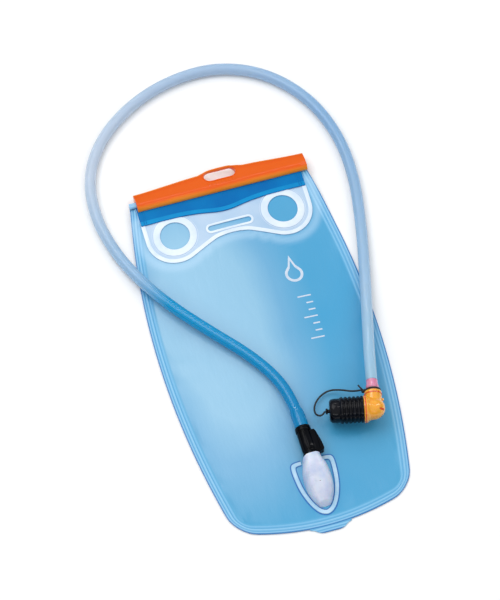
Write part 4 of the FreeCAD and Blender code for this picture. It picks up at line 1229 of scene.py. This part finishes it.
deselect()
bpy.ops.mesh.primitive_torus_add(major_radius=2.3 * MM, minor_radius=0.8 * MM, major_segments=48,
                                 minor_segments=16)
eyelet = bpy.context.object
eyelet.data.transform(placement(along_valve(-9.9, 8.2, 0), ELBOW_UP))
bpy.ops.object.transform_apply(location=True, rotation=True, scale=True)
stalk = block("eyelet_stalk", (-1.0 * MM, -1.1 * MM, 0), (1.0 * MM, 1.1 * MM, 3.2 * MM), 0.4 * MM)
stalk.data.transform(placement(along_valve(-5.6, 8.0), -CAP_WAY))
# The red-orange pieces below are painted shade: a disc in the recess and a fill in the slot darken those hollows,
# and rings on the flange and at the sleeve's seam stand in for the amber's darker edges.
flange_rib = turned("flange_rib", metres([(7.0, 11.7), (7.15, 12.05), (7.6, 12.1), (8.05, 12.05),
                                          (8.2, 11.7)]), VALVE, CAP_WAY, 72)
elbow = join("elbow", [elbow, eyelet, stalk])
recess_shade_disc = round_cutter(1.45 * MM, -0.9 * MM, -0.35 * MM, along_valve(-1.5, 0.5, 9.3), ELBOW_UP, 32)
seam_shade_ring = turned("seam", metres([(12.4, 7.45), (12.5, 7.75), (12.9, 7.82), (13.3, 7.75), (13.4, 7.45)]),
                   VALVE, TUBE_WAY, 72)
slot_shade_fill = block("slot_shade_fill", (-2.4 * MM, -0.7 * MM, -0.9 * MM),
                    (2.4 * MM, 0.7 * MM, 0.3 * MM), 0.25 * MM)
slot_shade_fill.data.transform(placement(along_valve(-6.0, -3.6, 5.8), Vector((0.45, -0.45, 0.77)), TUBE_WAY))
elbow_shade_pieces = join("elbow_shade_pieces", [flange_rib, recess_shade_disc, seam_shade_ring, slot_shade_fill])
clean(elbow_shade_pieces, 40)
print("elbow faces", len(elbow.data.polygons))

# %% Pink stem
pink_stem = turned("valve_stem", metres([
    (6.0, 2.1), (6.0, 4.9), (8.4, 4.9), (8.5, 4.0), (10.3, 4.0), (10.4, 4.9), (15.7, 4.9), (15.9, 5.6),
    (17.4, 5.6), (18.0, 5.1), (19.0, 5.1), (19.6, 5.5), (21.5, 5.6), (23.0, 5.0), (26.7, 5.0),
    (26.9, 4.6), (26.9, 3.2), (31.0, 3.2), (33.0, 3.25), (35.0, 3.2), (39.0, 2.5), (39.0, 2.1)]),
    VALVE, TUBE_WAY, 72, 40)

# %% Mouthpiece and its core
core = turned("mouthpiece_core", metres([
    (-2.6, 2.3), (-2.6, 4.6), (-2.4, 4.8), (9.3, 4.8), (9.3, 6.0), (9.5, 6.2), (11.1, 6.2), (11.3, 6.0),
    (11.3, 4.7), (20, 4.7), (20, 2.3)]), VALVE, CAP_WAY, 72, 30)
bite = turned("bite_mouthpiece", metres([
    (11.4, 4.8), (11.4, 6.9), (11.7, 7.2), (14.0, 7.2), (14.6, 6.9), (15.6, 6.4), (18, 6.3), (24, 6.6),
    (27.5, 6.8), (29.6, 6.5), (31, 5.5), (31.8, 4.2), (32, 3.0), (32, 0), (29.6, 0), (29.6, 3.6), (28, 4.8)]),
    VALVE, CAP_WAY, 72, 50)
for vertex in bite.data.vertices:
    place = vertex.co - VALVE
    along = place.dot(CAP_WAY)
    squeeze = 1 - 0.18 * smoothstep((along - 22 * MM) / (8 * MM))
    vertex.co.z = VALVE.z + place.z * squeeze
bite_slit = block("slit", (-0.2 * MM, -3 * MM, -2 * MM), (0.2 * MM, 3 * MM, 3 * MM), 0.05 * MM)
bite_slit.data.transform(placement(VALVE + CAP_WAY * 30.5 * MM, CAP_WAY, TUBE_WAY))
cut_away(bite, bite_slit)
bpy.ops.object.shade_smooth_by_angle(angle=math.radians(50))


# %% Ribbed dust cap
def cap_section():
    rows = [(9.3, 8.6), (9.3, 11.2), (9.6, 11.6), (11.2, 11.6), (11.4, 11.3)]
    start, pitch = 11.5, 3.55
    for i in range(5):
        here = start + i * pitch
        rows += [(here, 10.5), (here + 0.55, 10.4), (here + 0.8, 11.0), (here + 1.2, 11.45),
                 (here + 1.9, 11.6), (here + 2.6, 11.5), (here + 3.2, 11.1)]
    rows += [(29.4, 10.6), (29.9, 10.3), (30.3, 10.5), (34.4, 10.45), (36.6, 10.0), (37.8, 9.0), (38.3, 7.6),
             (38.4, 5.6), (38.4, 1.7), (39.5, 1.6), (39.8, 2.3), (40.3, 2.6), (41.1, 2.5), (41.6, 1.7),
             (41.6, 0), (36.2, 0), (36.2, 8.4)]
    return metres(rows)


cap = turned("dust_cap", cap_section(), VALVE, CAP_WAY, 96, 35)
print("cap faces", len(cap.data.polygons))

# %% [markdown]
# ## The tether
# A thin cord ties the dust cap to the valve's neck. It leaves its loop on the neck, drops over
# the film, swings out to the left and comes up to the nub of the cap, so it is a smooth spline
# too, swept with a round section. The cord's mesh is baked where it lies and rides on no body.

# %% Tether, loop and knot
TETHER_RADIUS = 0.8 * MM
TETHER_ROUTE = [
    (0.0612, -0.0686, 0.0170),
    (0.0545, -0.0665, 0.0135),
    (0.0460, -0.0605, 0.0104),
    (0.0360, -0.0572, 0.0094),
    (0.0265, -0.0605, 0.0096),
    (0.0190, -0.0685, 0.0115),
    (0.0166, -0.0775, 0.0145),
    (0.0186, -0.0826, 0.0178),
    (0.0222, -0.0836, 0.0196),
    (0.0246, -0.0810, 0.0198),
]
tether_points = smooth_line("tether_line", TETHER_ROUTE, 10)
tether = swept_tube("tether", tether_points, lambda run, total: TETHER_RADIUS, 12)
tether_length = line_length(tether_points)
print("tether", round(tether_length, 4))
loop_at = VALVE + TUBE_WAY * (17.2 * MM)
deselect()
bpy.ops.mesh.primitive_torus_add(major_radius=6.3 * MM, minor_radius=0.8 * MM, major_segments=72,
                                 minor_segments=12)
neck_loop = bpy.context.object
neck_loop.data.transform(placement(loop_at, TUBE_WAY))
knot_at = loop_at + CAP_WAY * (7.9 * MM)
knot_turns = []
for i in range(25):
    turn = 2 * math.pi * i / 12
    bulge = 1.15 * MM * (1 + 0.25 * math.sin(i * 0.9))
    knot_turns.append(knot_at + CAP_WAY * ((i - 12) * 0.1 * MM) + TUBE_WAY * (bulge * math.cos(turn)) +
                      Vector((0, 0, 1)) * (bulge * math.sin(turn)))
knot = swept_tube("knot", smooth_line("knot_line", [tuple(p) for p in knot_turns], 4),
                  lambda run, total: 0.75 * MM, 10)
tail_route = [tuple(knot_at), tuple(knot_at + Vector((-0.001, 0.0015, 0.0018))),
              tuple(knot_at + Vector((-0.0022, 0.0035, 0.0022))),
              tuple(knot_at + Vector((-0.0028, 0.006, 0.0014)))]
tail = swept_tube("tail", smooth_line("tail_line", tail_route, 6), lambda run, total: 0.7 * MM, 10)
loop_knot = join("tether_loop_and_knot", [neck_loop, knot, tail])

# %% [markdown]
# ## Marks printed on the film
# Two generic marks are printed on the film in pale grey: a water drop, and a column of level
# lines. They are real thin sheets that lie on the film, so that they follow its surface.


# %% Printed marks
def drop_loop(cx, cy, radius, tall):
    """A water drop with its point up."""
    round_part = arc_points(cx, cy, radius, 150, 390, 40)
    return round_part + [(cx + radius * 0.42, cy + radius * 1.05), (cx, cy + tall),
                         (cx - radius * 0.42, cy + radius * 1.05)]


PRINT_X = 40 * MM
PRINT_Y = 62 * MM
prints = [laid_sheet("printed_drop", [drop_loop(PRINT_X, PRINT_Y, 8 * MM, 19 * MM),
                                      drop_loop(PRINT_X, PRINT_Y, 5.6 * MM, 13.5 * MM)],
                     0.02 * MM, 0.08 * MM)]
for i in range(7):
    wide = 12 * MM if i % 3 == 0 else 6 * MM
    y = PRINT_Y - 24 * MM - i * 7 * MM
    bar = [(PRINT_X + 8 * MM - wide, y), (PRINT_X + 8 * MM, y), (PRINT_X + 8 * MM, y + 1.3 * MM),
           (PRINT_X + 8 * MM - wide, y + 1.3 * MM)]
    prints.append(laid_sheet(f"printed_level_{i}", [bar], 0.02 * MM, 0.08 * MM))
marks = join("printed_marks", prints)


# %% [markdown]
# ## Finishes
# No plastic is one flat colour. Every finish here starts from the same recipe: a slow noise in
# the colour, a second noise in the roughness, and a fine noise as bump. The coordinates are the
# object's own, so the pattern stays on the piece when it moves. What makes one plastic unlike
# another is then set on the shader: how much light passes, how rough it is, and its coat.


# %% The shared recipe
def srgb(red, green, blue):
    """A colour as the eye names it, 0 to 255, as the linear values that the shader wants."""
    values = []
    for value in (red, green, blue):
        value /= 255
        values.append(value / 12.92 if value <= 0.04045 else ((value + 0.055) / 1.055) ** 2.4)
    return (*values, 1.0)


def new_finish(name):
    finish = bpy.data.materials.new(name)
    finish.use_nodes = True
    return finish, finish.node_tree.nodes, finish.node_tree.links


def noise(nodes, links, scale, detail=3.0, stretch=(1, 1, 1)):
    """A noise on the object's own coordinates."""
    place = nodes.new("ShaderNodeTexCoord")
    mapping = nodes.new("ShaderNodeMapping")
    mapping.inputs["Scale"].default_value = stretch
    texture = nodes.new("ShaderNodeTexNoise")
    texture.inputs["Scale"].default_value = scale
    texture.inputs["Detail"].default_value = detail
    links.new(place.outputs["Object"], mapping.inputs["Vector"])
    links.new(mapping.outputs["Vector"], texture.inputs["Vector"])
    return texture.outputs["Fac"]


def ramp(nodes, links, source, stops):
    """A colour ramp with (place, colour) stops."""
    node = nodes.new("ShaderNodeValToRGB")
    elements = node.color_ramp.elements
    elements[0].position, elements[0].color = stops[0]
    elements[1].position, elements[1].color = stops[-1]
    for position, color in stops[1:-1]:
        elements.new(position).color = color
    links.new(source, node.inputs["Fac"])
    return node.outputs["Color"]


def roughness_noise(nodes, links, low, high, scale):
    node = nodes.new("ShaderNodeMapRange")
    node.inputs["From Min"].default_value = 0.3
    node.inputs["From Max"].default_value = 0.7
    node.inputs["To Min"].default_value = low
    node.inputs["To Max"].default_value = high
    links.new(noise(nodes, links, scale), node.inputs["Value"])
    links.new(node.outputs["Result"], nodes["Principled BSDF"].inputs["Roughness"])


def bump(nodes, links, source, distance, strength=1.0):
    node = nodes.new("ShaderNodeBump")
    node.inputs["Strength"].default_value = strength
    node.inputs["Distance"].default_value = distance
    links.new(source, node.inputs["Height"])
    links.new(node.outputs["Normal"], nodes["Principled BSDF"].inputs["Normal"])


def plastic(name, light, dark, patch=40, rough=(0.25, 0.4), grain=900, grain_depth=0.00003, **shader):
    """A moulded plastic or rubber: patchy colour, uneven gloss and a fine grain."""
    finish, nodes, links = new_finish(name)
    color = ramp(nodes, links, noise(nodes, links, patch), [(0.34, dark), (0.66, light)])
    links.new(color, nodes["Principled BSDF"].inputs["Base Color"])
    roughness_noise(nodes, links, *rough, patch * 2.5)
    bump(nodes, links, noise(nodes, links, grain, 2.0), grain_depth)
    for socket, value in shader.items():
        nodes["Principled BSDF"].inputs[socket.replace("_", " ")].default_value = value
    return finish


# %% [markdown]
# ### Hard plastics and rubber
# The slider is moulded orange plastic. A painted highlight makes its two long edges lighter and
# yellower than its middle, for the light that its rounded edges catch. How far each point is from
# the slider's two long edges is stored on the mesh, and a ramp turns that into colour. The other
# plastics use the shared recipe, and the black ones reflect little, because a white sky would turn them grey.

# %% Orange, black, frosted and pink plastics
orange_plastic, nodes, links = new_finish("slider_orange")
# Painted highlight: the distance from the long edges makes them take the lighter, yellower end of the ramp.
edge_highlight = nodes.new("ShaderNodeAttribute")
edge_highlight.attribute_name = "edge"
patches = nodes.new("ShaderNodeMath")
patches.operation = "MULTIPLY_ADD"
patches.inputs[1].default_value = 0.25
links.new(noise(nodes, links, 30), patches.inputs[0])
links.new(edge_highlight.outputs["Fac"], patches.inputs[2])
color = ramp(nodes, links, patches.outputs["Value"], [
    (0.1, srgb(236, 146, 40)), (0.3, srgb(232, 122, 22)), (0.55, srgb(224, 84, 2)), (1.0, srgb(226, 92, 4))])
links.new(color, nodes["Principled BSDF"].inputs["Base Color"])
roughness_noise(nodes, links, 0.16, 0.24, 75)
bump(nodes, links, noise(nodes, links, 1400, 2.0), 0.000008)
nodes["Principled BSDF"].inputs["Specular IOR Level"].default_value = 0.2
nodes["Principled BSDF"].inputs["Coat Weight"].default_value = 0.15
nodes["Principled BSDF"].inputs["Coat Roughness"].default_value = 0.1
# Widths of the painted highlight bands along the slider's lower and upper long edges.
LOW_HIGHLIGHT_BAND = 9 * MM
HIGH_HIGHLIGHT_BAND = 6 * MM
for piece in (slider, hole_rim, slider_grip):
    edge = piece.data.attributes.new("edge", "FLOAT", "POINT")
    for index, vertex in enumerate(piece.data.vertices):
        low_share = (vertex.co.y - SLIDER_FOOT_Y) / LOW_HIGHLIGHT_BAND
        high_share = (SLIDER_FOOT_Y + slider_edge(vertex.co.x) - vertex.co.y) / HIGH_HIGHLIGHT_BAND
        edge.data[index].value = max(0.0, min(1.0, low_share, high_share))
black_plastic = plastic("connector_black", srgb(7, 9, 15), srgb(3, 4, 7), 90, (0.07, 0.12), 1800, 0.000005,
                        Specular_IOR_Level=0.08)
black_rubber = plastic("cap_rubber", srgb(10, 12, 20), srgb(4, 5, 9), 120, (0.12, 0.2), 2600, 0.00001,
                       Specular_IOR_Level=0.18)
white_plastic = plastic("valve_white", srgb(236, 238, 240), srgb(222, 226, 230), 80, (0.3, 0.4))
steel = plastic("spring_steel", srgb(190, 192, 196), srgb(160, 163, 168), 300, (0.2, 0.35), 3000, 0.000005,
                Metallic=1.0)
frosted_plastic = plastic("outlet_frosted", srgb(212, 218, 234), srgb(186, 198, 224), 95, (0.25, 0.4), 1500,
                          0.00002, Subsurface_Weight=0.3, Subsurface_Scale=0.003, Coat_Weight=0.2,
                          Coat_Roughness=0.2)
pink_plastic = plastic("stem_pink", srgb(240, 158, 190), srgb(226, 128, 165), 130, (0.12, 0.22), 1500,
                       0.00001, Transmission_Weight=0.2, Subsurface_Weight=0.3, Subsurface_Scale=0.003,
                       Coat_Weight=0.5, Coat_Roughness=0.08)
clear_silicone = plastic("mouthpiece_silicone", srgb(214, 226, 240), srgb(196, 212, 232), 90,
                         (0.22, 0.34), 1200, 0.00001, Transmission_Weight=0.5, IOR=1.41)
# Painted shade: the red-orange of the elbow's recess, slot and edge pieces.
shade_red = plastic("elbow_shade_red", srgb(232, 84, 22), srgb(214, 58, 12), 160, (0.14, 0.22), 1500, 0.00001,
                   Subsurface_Weight=0.2, Subsurface_Scale=0.002, Coat_Weight=0.4, Coat_Roughness=0.06)
print_ink = plastic("print_ink", srgb(206, 217, 230), srgb(190, 206, 224), 300, (0.4, 0.55), 4000, 0.00001)

# %% [markdown]
# ### The amber elbow
# Clear coloured plastic looks deep orange where it is thick and yellow where it is thin. Here a
# patchy noise drives the colour, and a slight painted shade over the piece's height makes its
# lower side redder and darker. The shade is kept slight so that the elbow looks like the same
# plastic from every side when it swivels. Some light passes through.

# %% Amber plastic
amber_plastic, nodes, links = new_finish("elbow_amber")
place = nodes.new("ShaderNodeTexCoord")
axes = nodes.new("ShaderNodeSeparateXYZ")
links.new(place.outputs["Object"], axes.inputs["Vector"])
# Painted shade: the piece's height is mapped so that its lower side takes the redder, darker end of the ramp.
height = nodes.new("ShaderNodeMapRange")
height.inputs["From Min"].default_value = VALVE.z - 9 * MM
height.inputs["From Max"].default_value = VALVE.z + 9 * MM
height.inputs["To Min"].default_value = 0.65
links.new(axes.outputs["Z"], height.inputs["Value"])
patches_and_low_shade = nodes.new("ShaderNodeMath")
patches_and_low_shade.operation = "MULTIPLY_ADD"
patches_and_low_shade.inputs[1].default_value = 0.5
links.new(noise(nodes, links, 190), patches_and_low_shade.inputs[0])
links.new(height.outputs["Result"], patches_and_low_shade.inputs[2])
color = ramp(nodes, links, patches_and_low_shade.outputs["Value"], [
    (0.4, srgb(226, 56, 2)), (0.75, srgb(250, 108, 4)), (1.0, srgb(255, 172, 34))])
links.new(color, nodes["Principled BSDF"].inputs["Base Color"])
roughness_noise(nodes, links, 0.1, 0.2, 200)
bump(nodes, links, noise(nodes, links, 700), 0.00002)
nodes["Principled BSDF"].inputs["Transmission Weight"].default_value = 0.12
nodes["Principled BSDF"].inputs["Subsurface Weight"].default_value = 0.25
nodes["Principled BSDF"].inputs["Subsurface Scale"].default_value = 0.004
nodes["Principled BSDF"].inputs["Coat Weight"].default_value = 0.6
nodes["Principled BSDF"].inputs["Coat Roughness"].default_value = 0.05

# %% [markdown]
# ### The pouch film
# The film is blue, a little milky, and welded white in narrow lines round its edge. Its colour
# drifts slowly over the surface, and a broad painted pool of light makes it paler over an oval
# left of the pouch's middle, for the sheen of the puffed film. The distance from
# the edge is stored on every point, and a ramp of that distance draws the pale weld lines on the
# pressed ridges and the dark cut edge.


# %% Distances stored on the film
WHITE = (1.0, 1.0, 1.0, 1.0)
BLACK = (0.0, 0.0, 0.0, 1.0)
HALO_AT = 4.5 * MM
HALO_WIDTH = 7.0 * MM


def store_rim(piece):
    rim = piece.data.attributes.new("rim", "FLOAT", "POINT")
    for index, vertex in enumerate(piece.data.vertices):
        rim.data[index].value = edge_distance(vertex.co.x, vertex.co.y) / (20 * MM)


def store_halo(piece):
    """A pale bloom on the film a few millimetres outside the panel's weld band."""
    halo = piece.data.attributes.new("halo", "FLOAT", "POINT")
    for index, vertex in enumerate(piece.data.vertices):
        x, y = vertex.co.x, vertex.co.y
        if y < LOBE_Y - LOBE_RADIUS - HALO_AT - HALO_WIDTH or y > SLIDER_FOOT_Y:
            continue
        near = min(math.hypot(x - px, y - py) for px, py in edge_line[::3])
        halo.data[index].value = 0.45 * (1 - smoothstep(abs(near - HALO_AT) / HALO_WIDTH))


store_rim(front_film)
store_rim(back_film)
store_halo(front_film)
tab_rim = tab.data.attributes.new("rim", "FLOAT", "POINT")
for index, vertex in enumerate(tab.data.vertices):
    tab_rim.data[index].value = max(0.0, (vertex.co.y - TAB_TIP) / (20 * MM))


def film_finish(name, tones, rim_tones, rough, wrinkle):
    """Film with a slow drift of colour, a painted pool of light, weld lines along its rim and fine wrinkles."""
    finish, nodes, links = new_finish(name)
    shader = nodes["Principled BSDF"]
    place = nodes.new("ShaderNodeTexCoord")
    centred = nodes.new("ShaderNodeMapping")
    centred.inputs["Location"].default_value = (0.44, -0.15, 0)
    centred.inputs["Scale"].default_value = (11, 5, 0)
    links.new(place.outputs["Object"], centred.inputs["Vector"])
    # Painted pool of light: a spherical gradient makes the film paler over a broad oval left of the pouch's
    # middle.
    painted_light_pool = nodes.new("ShaderNodeTexGradient")
    painted_light_pool.gradient_type = "SPHERICAL"
    links.new(centred.outputs["Vector"], painted_light_pool.inputs["Vector"])
    drift_and_light_pool = nodes.new("ShaderNodeMath")
    drift_and_light_pool.operation = "MULTIPLY_ADD"
    drift_and_light_pool.inputs[1].default_value = 0.35
    links.new(noise(nodes, links, 9, 2.0), drift_and_light_pool.inputs[0])
    links.new(painted_light_pool.outputs["Fac"], drift_and_light_pool.inputs[2])
    field = ramp(nodes, links, drift_and_light_pool.outputs["Value"], tones)
    attribute = nodes.new("ShaderNodeAttribute")
    attribute.attribute_name = "rim"
    rim_color = ramp(nodes, links, attribute.outputs["Fac"], rim_tones)
    share = ramp(nodes, links, attribute.outputs["Fac"], [(0.0, WHITE), (0.36, WHITE), (0.48, BLACK)])
    halo = nodes.new("ShaderNodeAttribute")
    halo.attribute_name = "halo"
    layers = [(field, rim_color, share), (None, srgb(176, 212, 238), halo.outputs["Fac"])]
    below = None
    for under, over, factor in layers:
        mix = nodes.new("ShaderNodeMix")
        mix.data_type = "RGBA"
        links.new(factor, mix.inputs["Factor"])
        links.new(under or below, mix.inputs["A"])
        if isinstance(over, tuple):
            mix.inputs["B"].default_value = over
        else:
            links.new(over, mix.inputs["B"])
        below = mix.outputs["Result"]
    links.new(below, shader.inputs["Base Color"])
    roughness_noise(nodes, links, *rough, 22)
    bump(nodes, links, noise(nodes, links, 130, 4.0, (1, 0.35, 1)), wrinkle, 0.6)
    shader.inputs["Coat Weight"].default_value = 0.2
    shader.inputs["Coat Roughness"].default_value = 0.25
    return finish


pale_line = srgb(134, 194, 228)
film_mid = srgb(84, 166, 209)
deep_line = srgb(20, 116, 182)
dark_field = srgb(50, 154, 202)
low_field = srgb(72, 158, 202)
mid_field = srgb(100, 166, 206)
light_field = srgb(134, 186, 216)
blue_film = film_finish("film_blue",
                        [(0.1, dark_field), (0.25, low_field), (0.5, mid_field), (0.72, light_field)],
                        [(0.0, deep_line), (0.03, deep_line), (0.07, pale_line), (0.13, srgb(70, 154, 204)),
                         (0.21, pale_line), (0.27, srgb(68, 154, 203)), (0.35, srgb(112, 182, 222)),
                         (0.42, film_mid)], (0.28, 0.42), 0.0005)
back_blue = film_finish("film_back", [(0.1, low_field), (0.7, mid_field)],
                        [(0.0, deep_line), (0.1, film_mid), (0.4, film_mid)], (0.35, 0.5), 0.0004)
milky_film = plastic("panel_milky", srgb(184, 206, 228), srgb(160, 192, 222), 26, (0.3, 0.42), 500, 0.00006,
                     Coat_Weight=0.3, Coat_Roughness=0.25)
weld_white = plastic("weld_white", srgb(226, 236, 246), srgb(206, 223, 240), 60, (0.3, 0.45), 900, 0.00003,
                     Coat_Weight=0.2, Coat_Roughness=0.2)
panel_line_finish = plastic("panel_line", srgb(200, 218, 236), srgb(190, 210, 232), 60, (0.3, 0.4))
outlet_band = plastic("outlet_weld_band", srgb(184, 216, 238), srgb(158, 202, 230), 120, (0.25, 0.4),
                      900, 0.00003)
flap_blue = plastic("flap_deep_blue", srgb(0, 116, 182), srgb(0, 96, 168), 24, (0.3, 0.42), 260, 0.0001,
                    Specular_IOR_Level=0.08)
hem_blue = plastic("hem_cyan", srgb(0, 142, 202), srgb(0, 130, 192), 60, (0.3, 0.4), 400, 0.00008,
                   Specular_IOR_Level=0.12)
roll_blue = plastic("roll_blue", srgb(150, 200, 234), srgb(120, 182, 225), 90, (0.26, 0.4), 500, 0.00006)
outline_blue = plastic("weld_outline", srgb(16, 112, 188), srgb(4, 98, 176), 90, (0.3, 0.4))

# %% [markdown]
# ### The drink tube
# The tube is clear with a blue tint. Less than half of the light is let through the wall and
# bent by it, so the dark edges and the bright middle that clear hose has show only faintly. Its
# colour is painted along its run. It is deep blue where it lies on the film near the outlet, for
# the blue film seen through the clear wall, and palest on the loop's left side as a painted highlight.
# Faint waves run along it, from how the hose was drawn.

# %% Tube material
blue_tube, nodes, links = new_finish("tube_blue")
shader = nodes["Principled BSDF"]
unwrapped = nodes.new("ShaderNodeUVMap")
unwrapped.uv_map = "along"
run_axis = nodes.new("ShaderNodeSeparateXYZ")
links.new(unwrapped.outputs["UV"], run_axis.inputs["Vector"])
# Painted light along the run: deep blue near the outlet for the film seen through the wall, and palest on the
# loop's left side as a painted highlight.
painted_light_along_run = nodes.new("ShaderNodeMath")
painted_light_along_run.operation = "MULTIPLY_ADD"
painted_light_along_run.inputs[1].default_value = 0.03
links.new(noise(nodes, links, 18, 2.0), painted_light_along_run.inputs[0])
links.new(run_axis.outputs["X"], painted_light_along_run.inputs[2])
color = ramp(nodes, links, painted_light_along_run.outputs["Value"], [
    (0.0, srgb(0, 150, 212)), (0.10, srgb(0, 168, 226)), (0.185, srgb(0, 172, 228)),
    (0.225, srgb(170, 212, 244)), (0.34, srgb(222, 236, 252)), (0.62, srgb(158, 202, 240)),
    (0.80, srgb(190, 224, 250)), (0.92, srgb(184, 228, 250))])
links.new(color, shader.inputs["Base Color"])
roughness_noise(nodes, links, 0.02, 0.07, 60)
bump(nodes, links, noise(nodes, links, 26, 1.0), 0.0002, 0.2)
shader.inputs["Transmission Weight"].default_value = 0.42
shader.inputs["IOR"].default_value = 1.42
shader.inputs["Specular IOR Level"].default_value = 0.3
shader.inputs["Coat Weight"].default_value = 0.15
shader.inputs["Coat Roughness"].default_value = 0.05

# %% Cord material
black_cord, nodes, links = new_finish("tether_cord")
shader = nodes["Principled BSDF"]
weave_place = nodes.new("ShaderNodeTexCoord")
weave = nodes.new("ShaderNodeTexWave")
weave.bands_direction = "DIAGONAL"
weave.inputs["Scale"].default_value = 420
weave.inputs["Distortion"].default_value = 1.5
links.new(weave_place.outputs["Object"], weave.inputs["Vector"])
color = ramp(nodes, links, weave.outputs["Fac"], [(0.2, srgb(10, 10, 12)), (0.8, srgb(38, 40, 44))])
links.new(color, shader.inputs["Base Color"])
roughness_noise(nodes, links, 0.45, 0.6, 300)
bump(nodes, links, weave.outputs["Fac"], 0.00012)

# %% Paint every piece
FINISHES = [
    (blue_film, "blue_film", [front_film, tab]),
    (back_blue, "blue_film", [back_film]),
    (milky_film, "milky_film", [grip_panel]),
    (weld_white, "weld_band", [p for p in panel_pieces if not p.name.endswith("_line")]),
    (outlet_band, "weld_band", [weld_band]),
    (panel_line_finish, "weld_band", [p for p in panel_pieces if p.name.endswith("_line")]),
    (flap_blue, "folded_film", [mouth_flap] + flap_welds),
    (hem_blue, "folded_film", [flap_hem]),
    (roll_blue, "blue_film", [fold_roll]),
    (outline_blue, "blue_film", weld_lines),
    (orange_plastic, "orange_plastic", [slider, hole_rim, slider_grip]),
    (frosted_plastic, "frosted_plastic", [pod]),
    (black_plastic, "black_plastic", [connector, button, stem]),
    (blue_tube, "blue_tube", [drink_tube]),
    (pink_plastic, "pink_plastic", [pink_stem]),
    (amber_plastic, "amber_plastic", [elbow]),
    (shade_red, "amber_plastic", [elbow_shade_pieces]),
    (white_plastic, "white_plastic", [core]),
    (clear_silicone, "clear_silicone", [bite]),
    (black_rubber, "black_rubber", [cap]),
    (black_cord, "black_cord", [tether, loop_knot]),
    (print_ink, "weld_band", [marks]),
]
for finish, slot, painted in FINISHES:
    for piece in painted:
        paint(piece, finish)
repaint("lower_fold_rail", white_plastic)
repaint("upper_fold_rail", white_plastic)
repaint("shutoff_spring", steel)
repaint("button_spring", steel)
repaint("shutoff_disc", white_plastic)
for node in ("shutoff_seal", "connector_seal", "valve_seal"):
    repaint(node, black_rubber)


# %% [markdown]
# ## Which body each piece rides on
# Every piece but the tether moves with one of the CAD model's bodies, and stands for the CAD nodes it replaces.

# %% Ride and replace
RIDERS = {
    "pouch": [front_film, back_film, tab, grip_panel, mouth_flap, flap_hem, fold_roll, pod, weld_band, marks]
    + panel_pieces + flap_welds + weld_lines,
    "slider": [slider, hole_rim, slider_grip],
    "hose": [drink_tube, connector, stem, pink_stem],
    "release_button": [button],
    "valve_elbow": [elbow, elbow_shade_pieces, loop_knot],
    "mouthpiece": [core, bite],
    "dirt_cap": [cap],
}
for body, riders in RIDERS.items():
    for piece in riders:
        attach(piece, body)
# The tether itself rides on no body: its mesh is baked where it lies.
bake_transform(tether)
REPLACED = [
    (front_film, "front_film"), (back_film, "back_film"), (grip_panel, "hang_panel"),
    (mouth_flap, "mouth_flap"), (fold_roll, "mouth_fold"), (slider, "slider_clip"),
    (pod, "outlet_fitting"), (weld_band, "outlet_weld_ring"), (connector, "connector_body"),
    (button, "release_button"), (stem, "hose_barb"), (drink_tube, "drink_tube"),
    (pink_stem, "valve_barb"), (elbow, "valve_elbow"), (core, "twist_core"), (bite, "bite_valve"),
    (cap, "dirt_cap"), (tether, "cap_tether"), (loop_knot, "tether_loop"),
]
for piece, node in REPLACED:
    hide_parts(node)
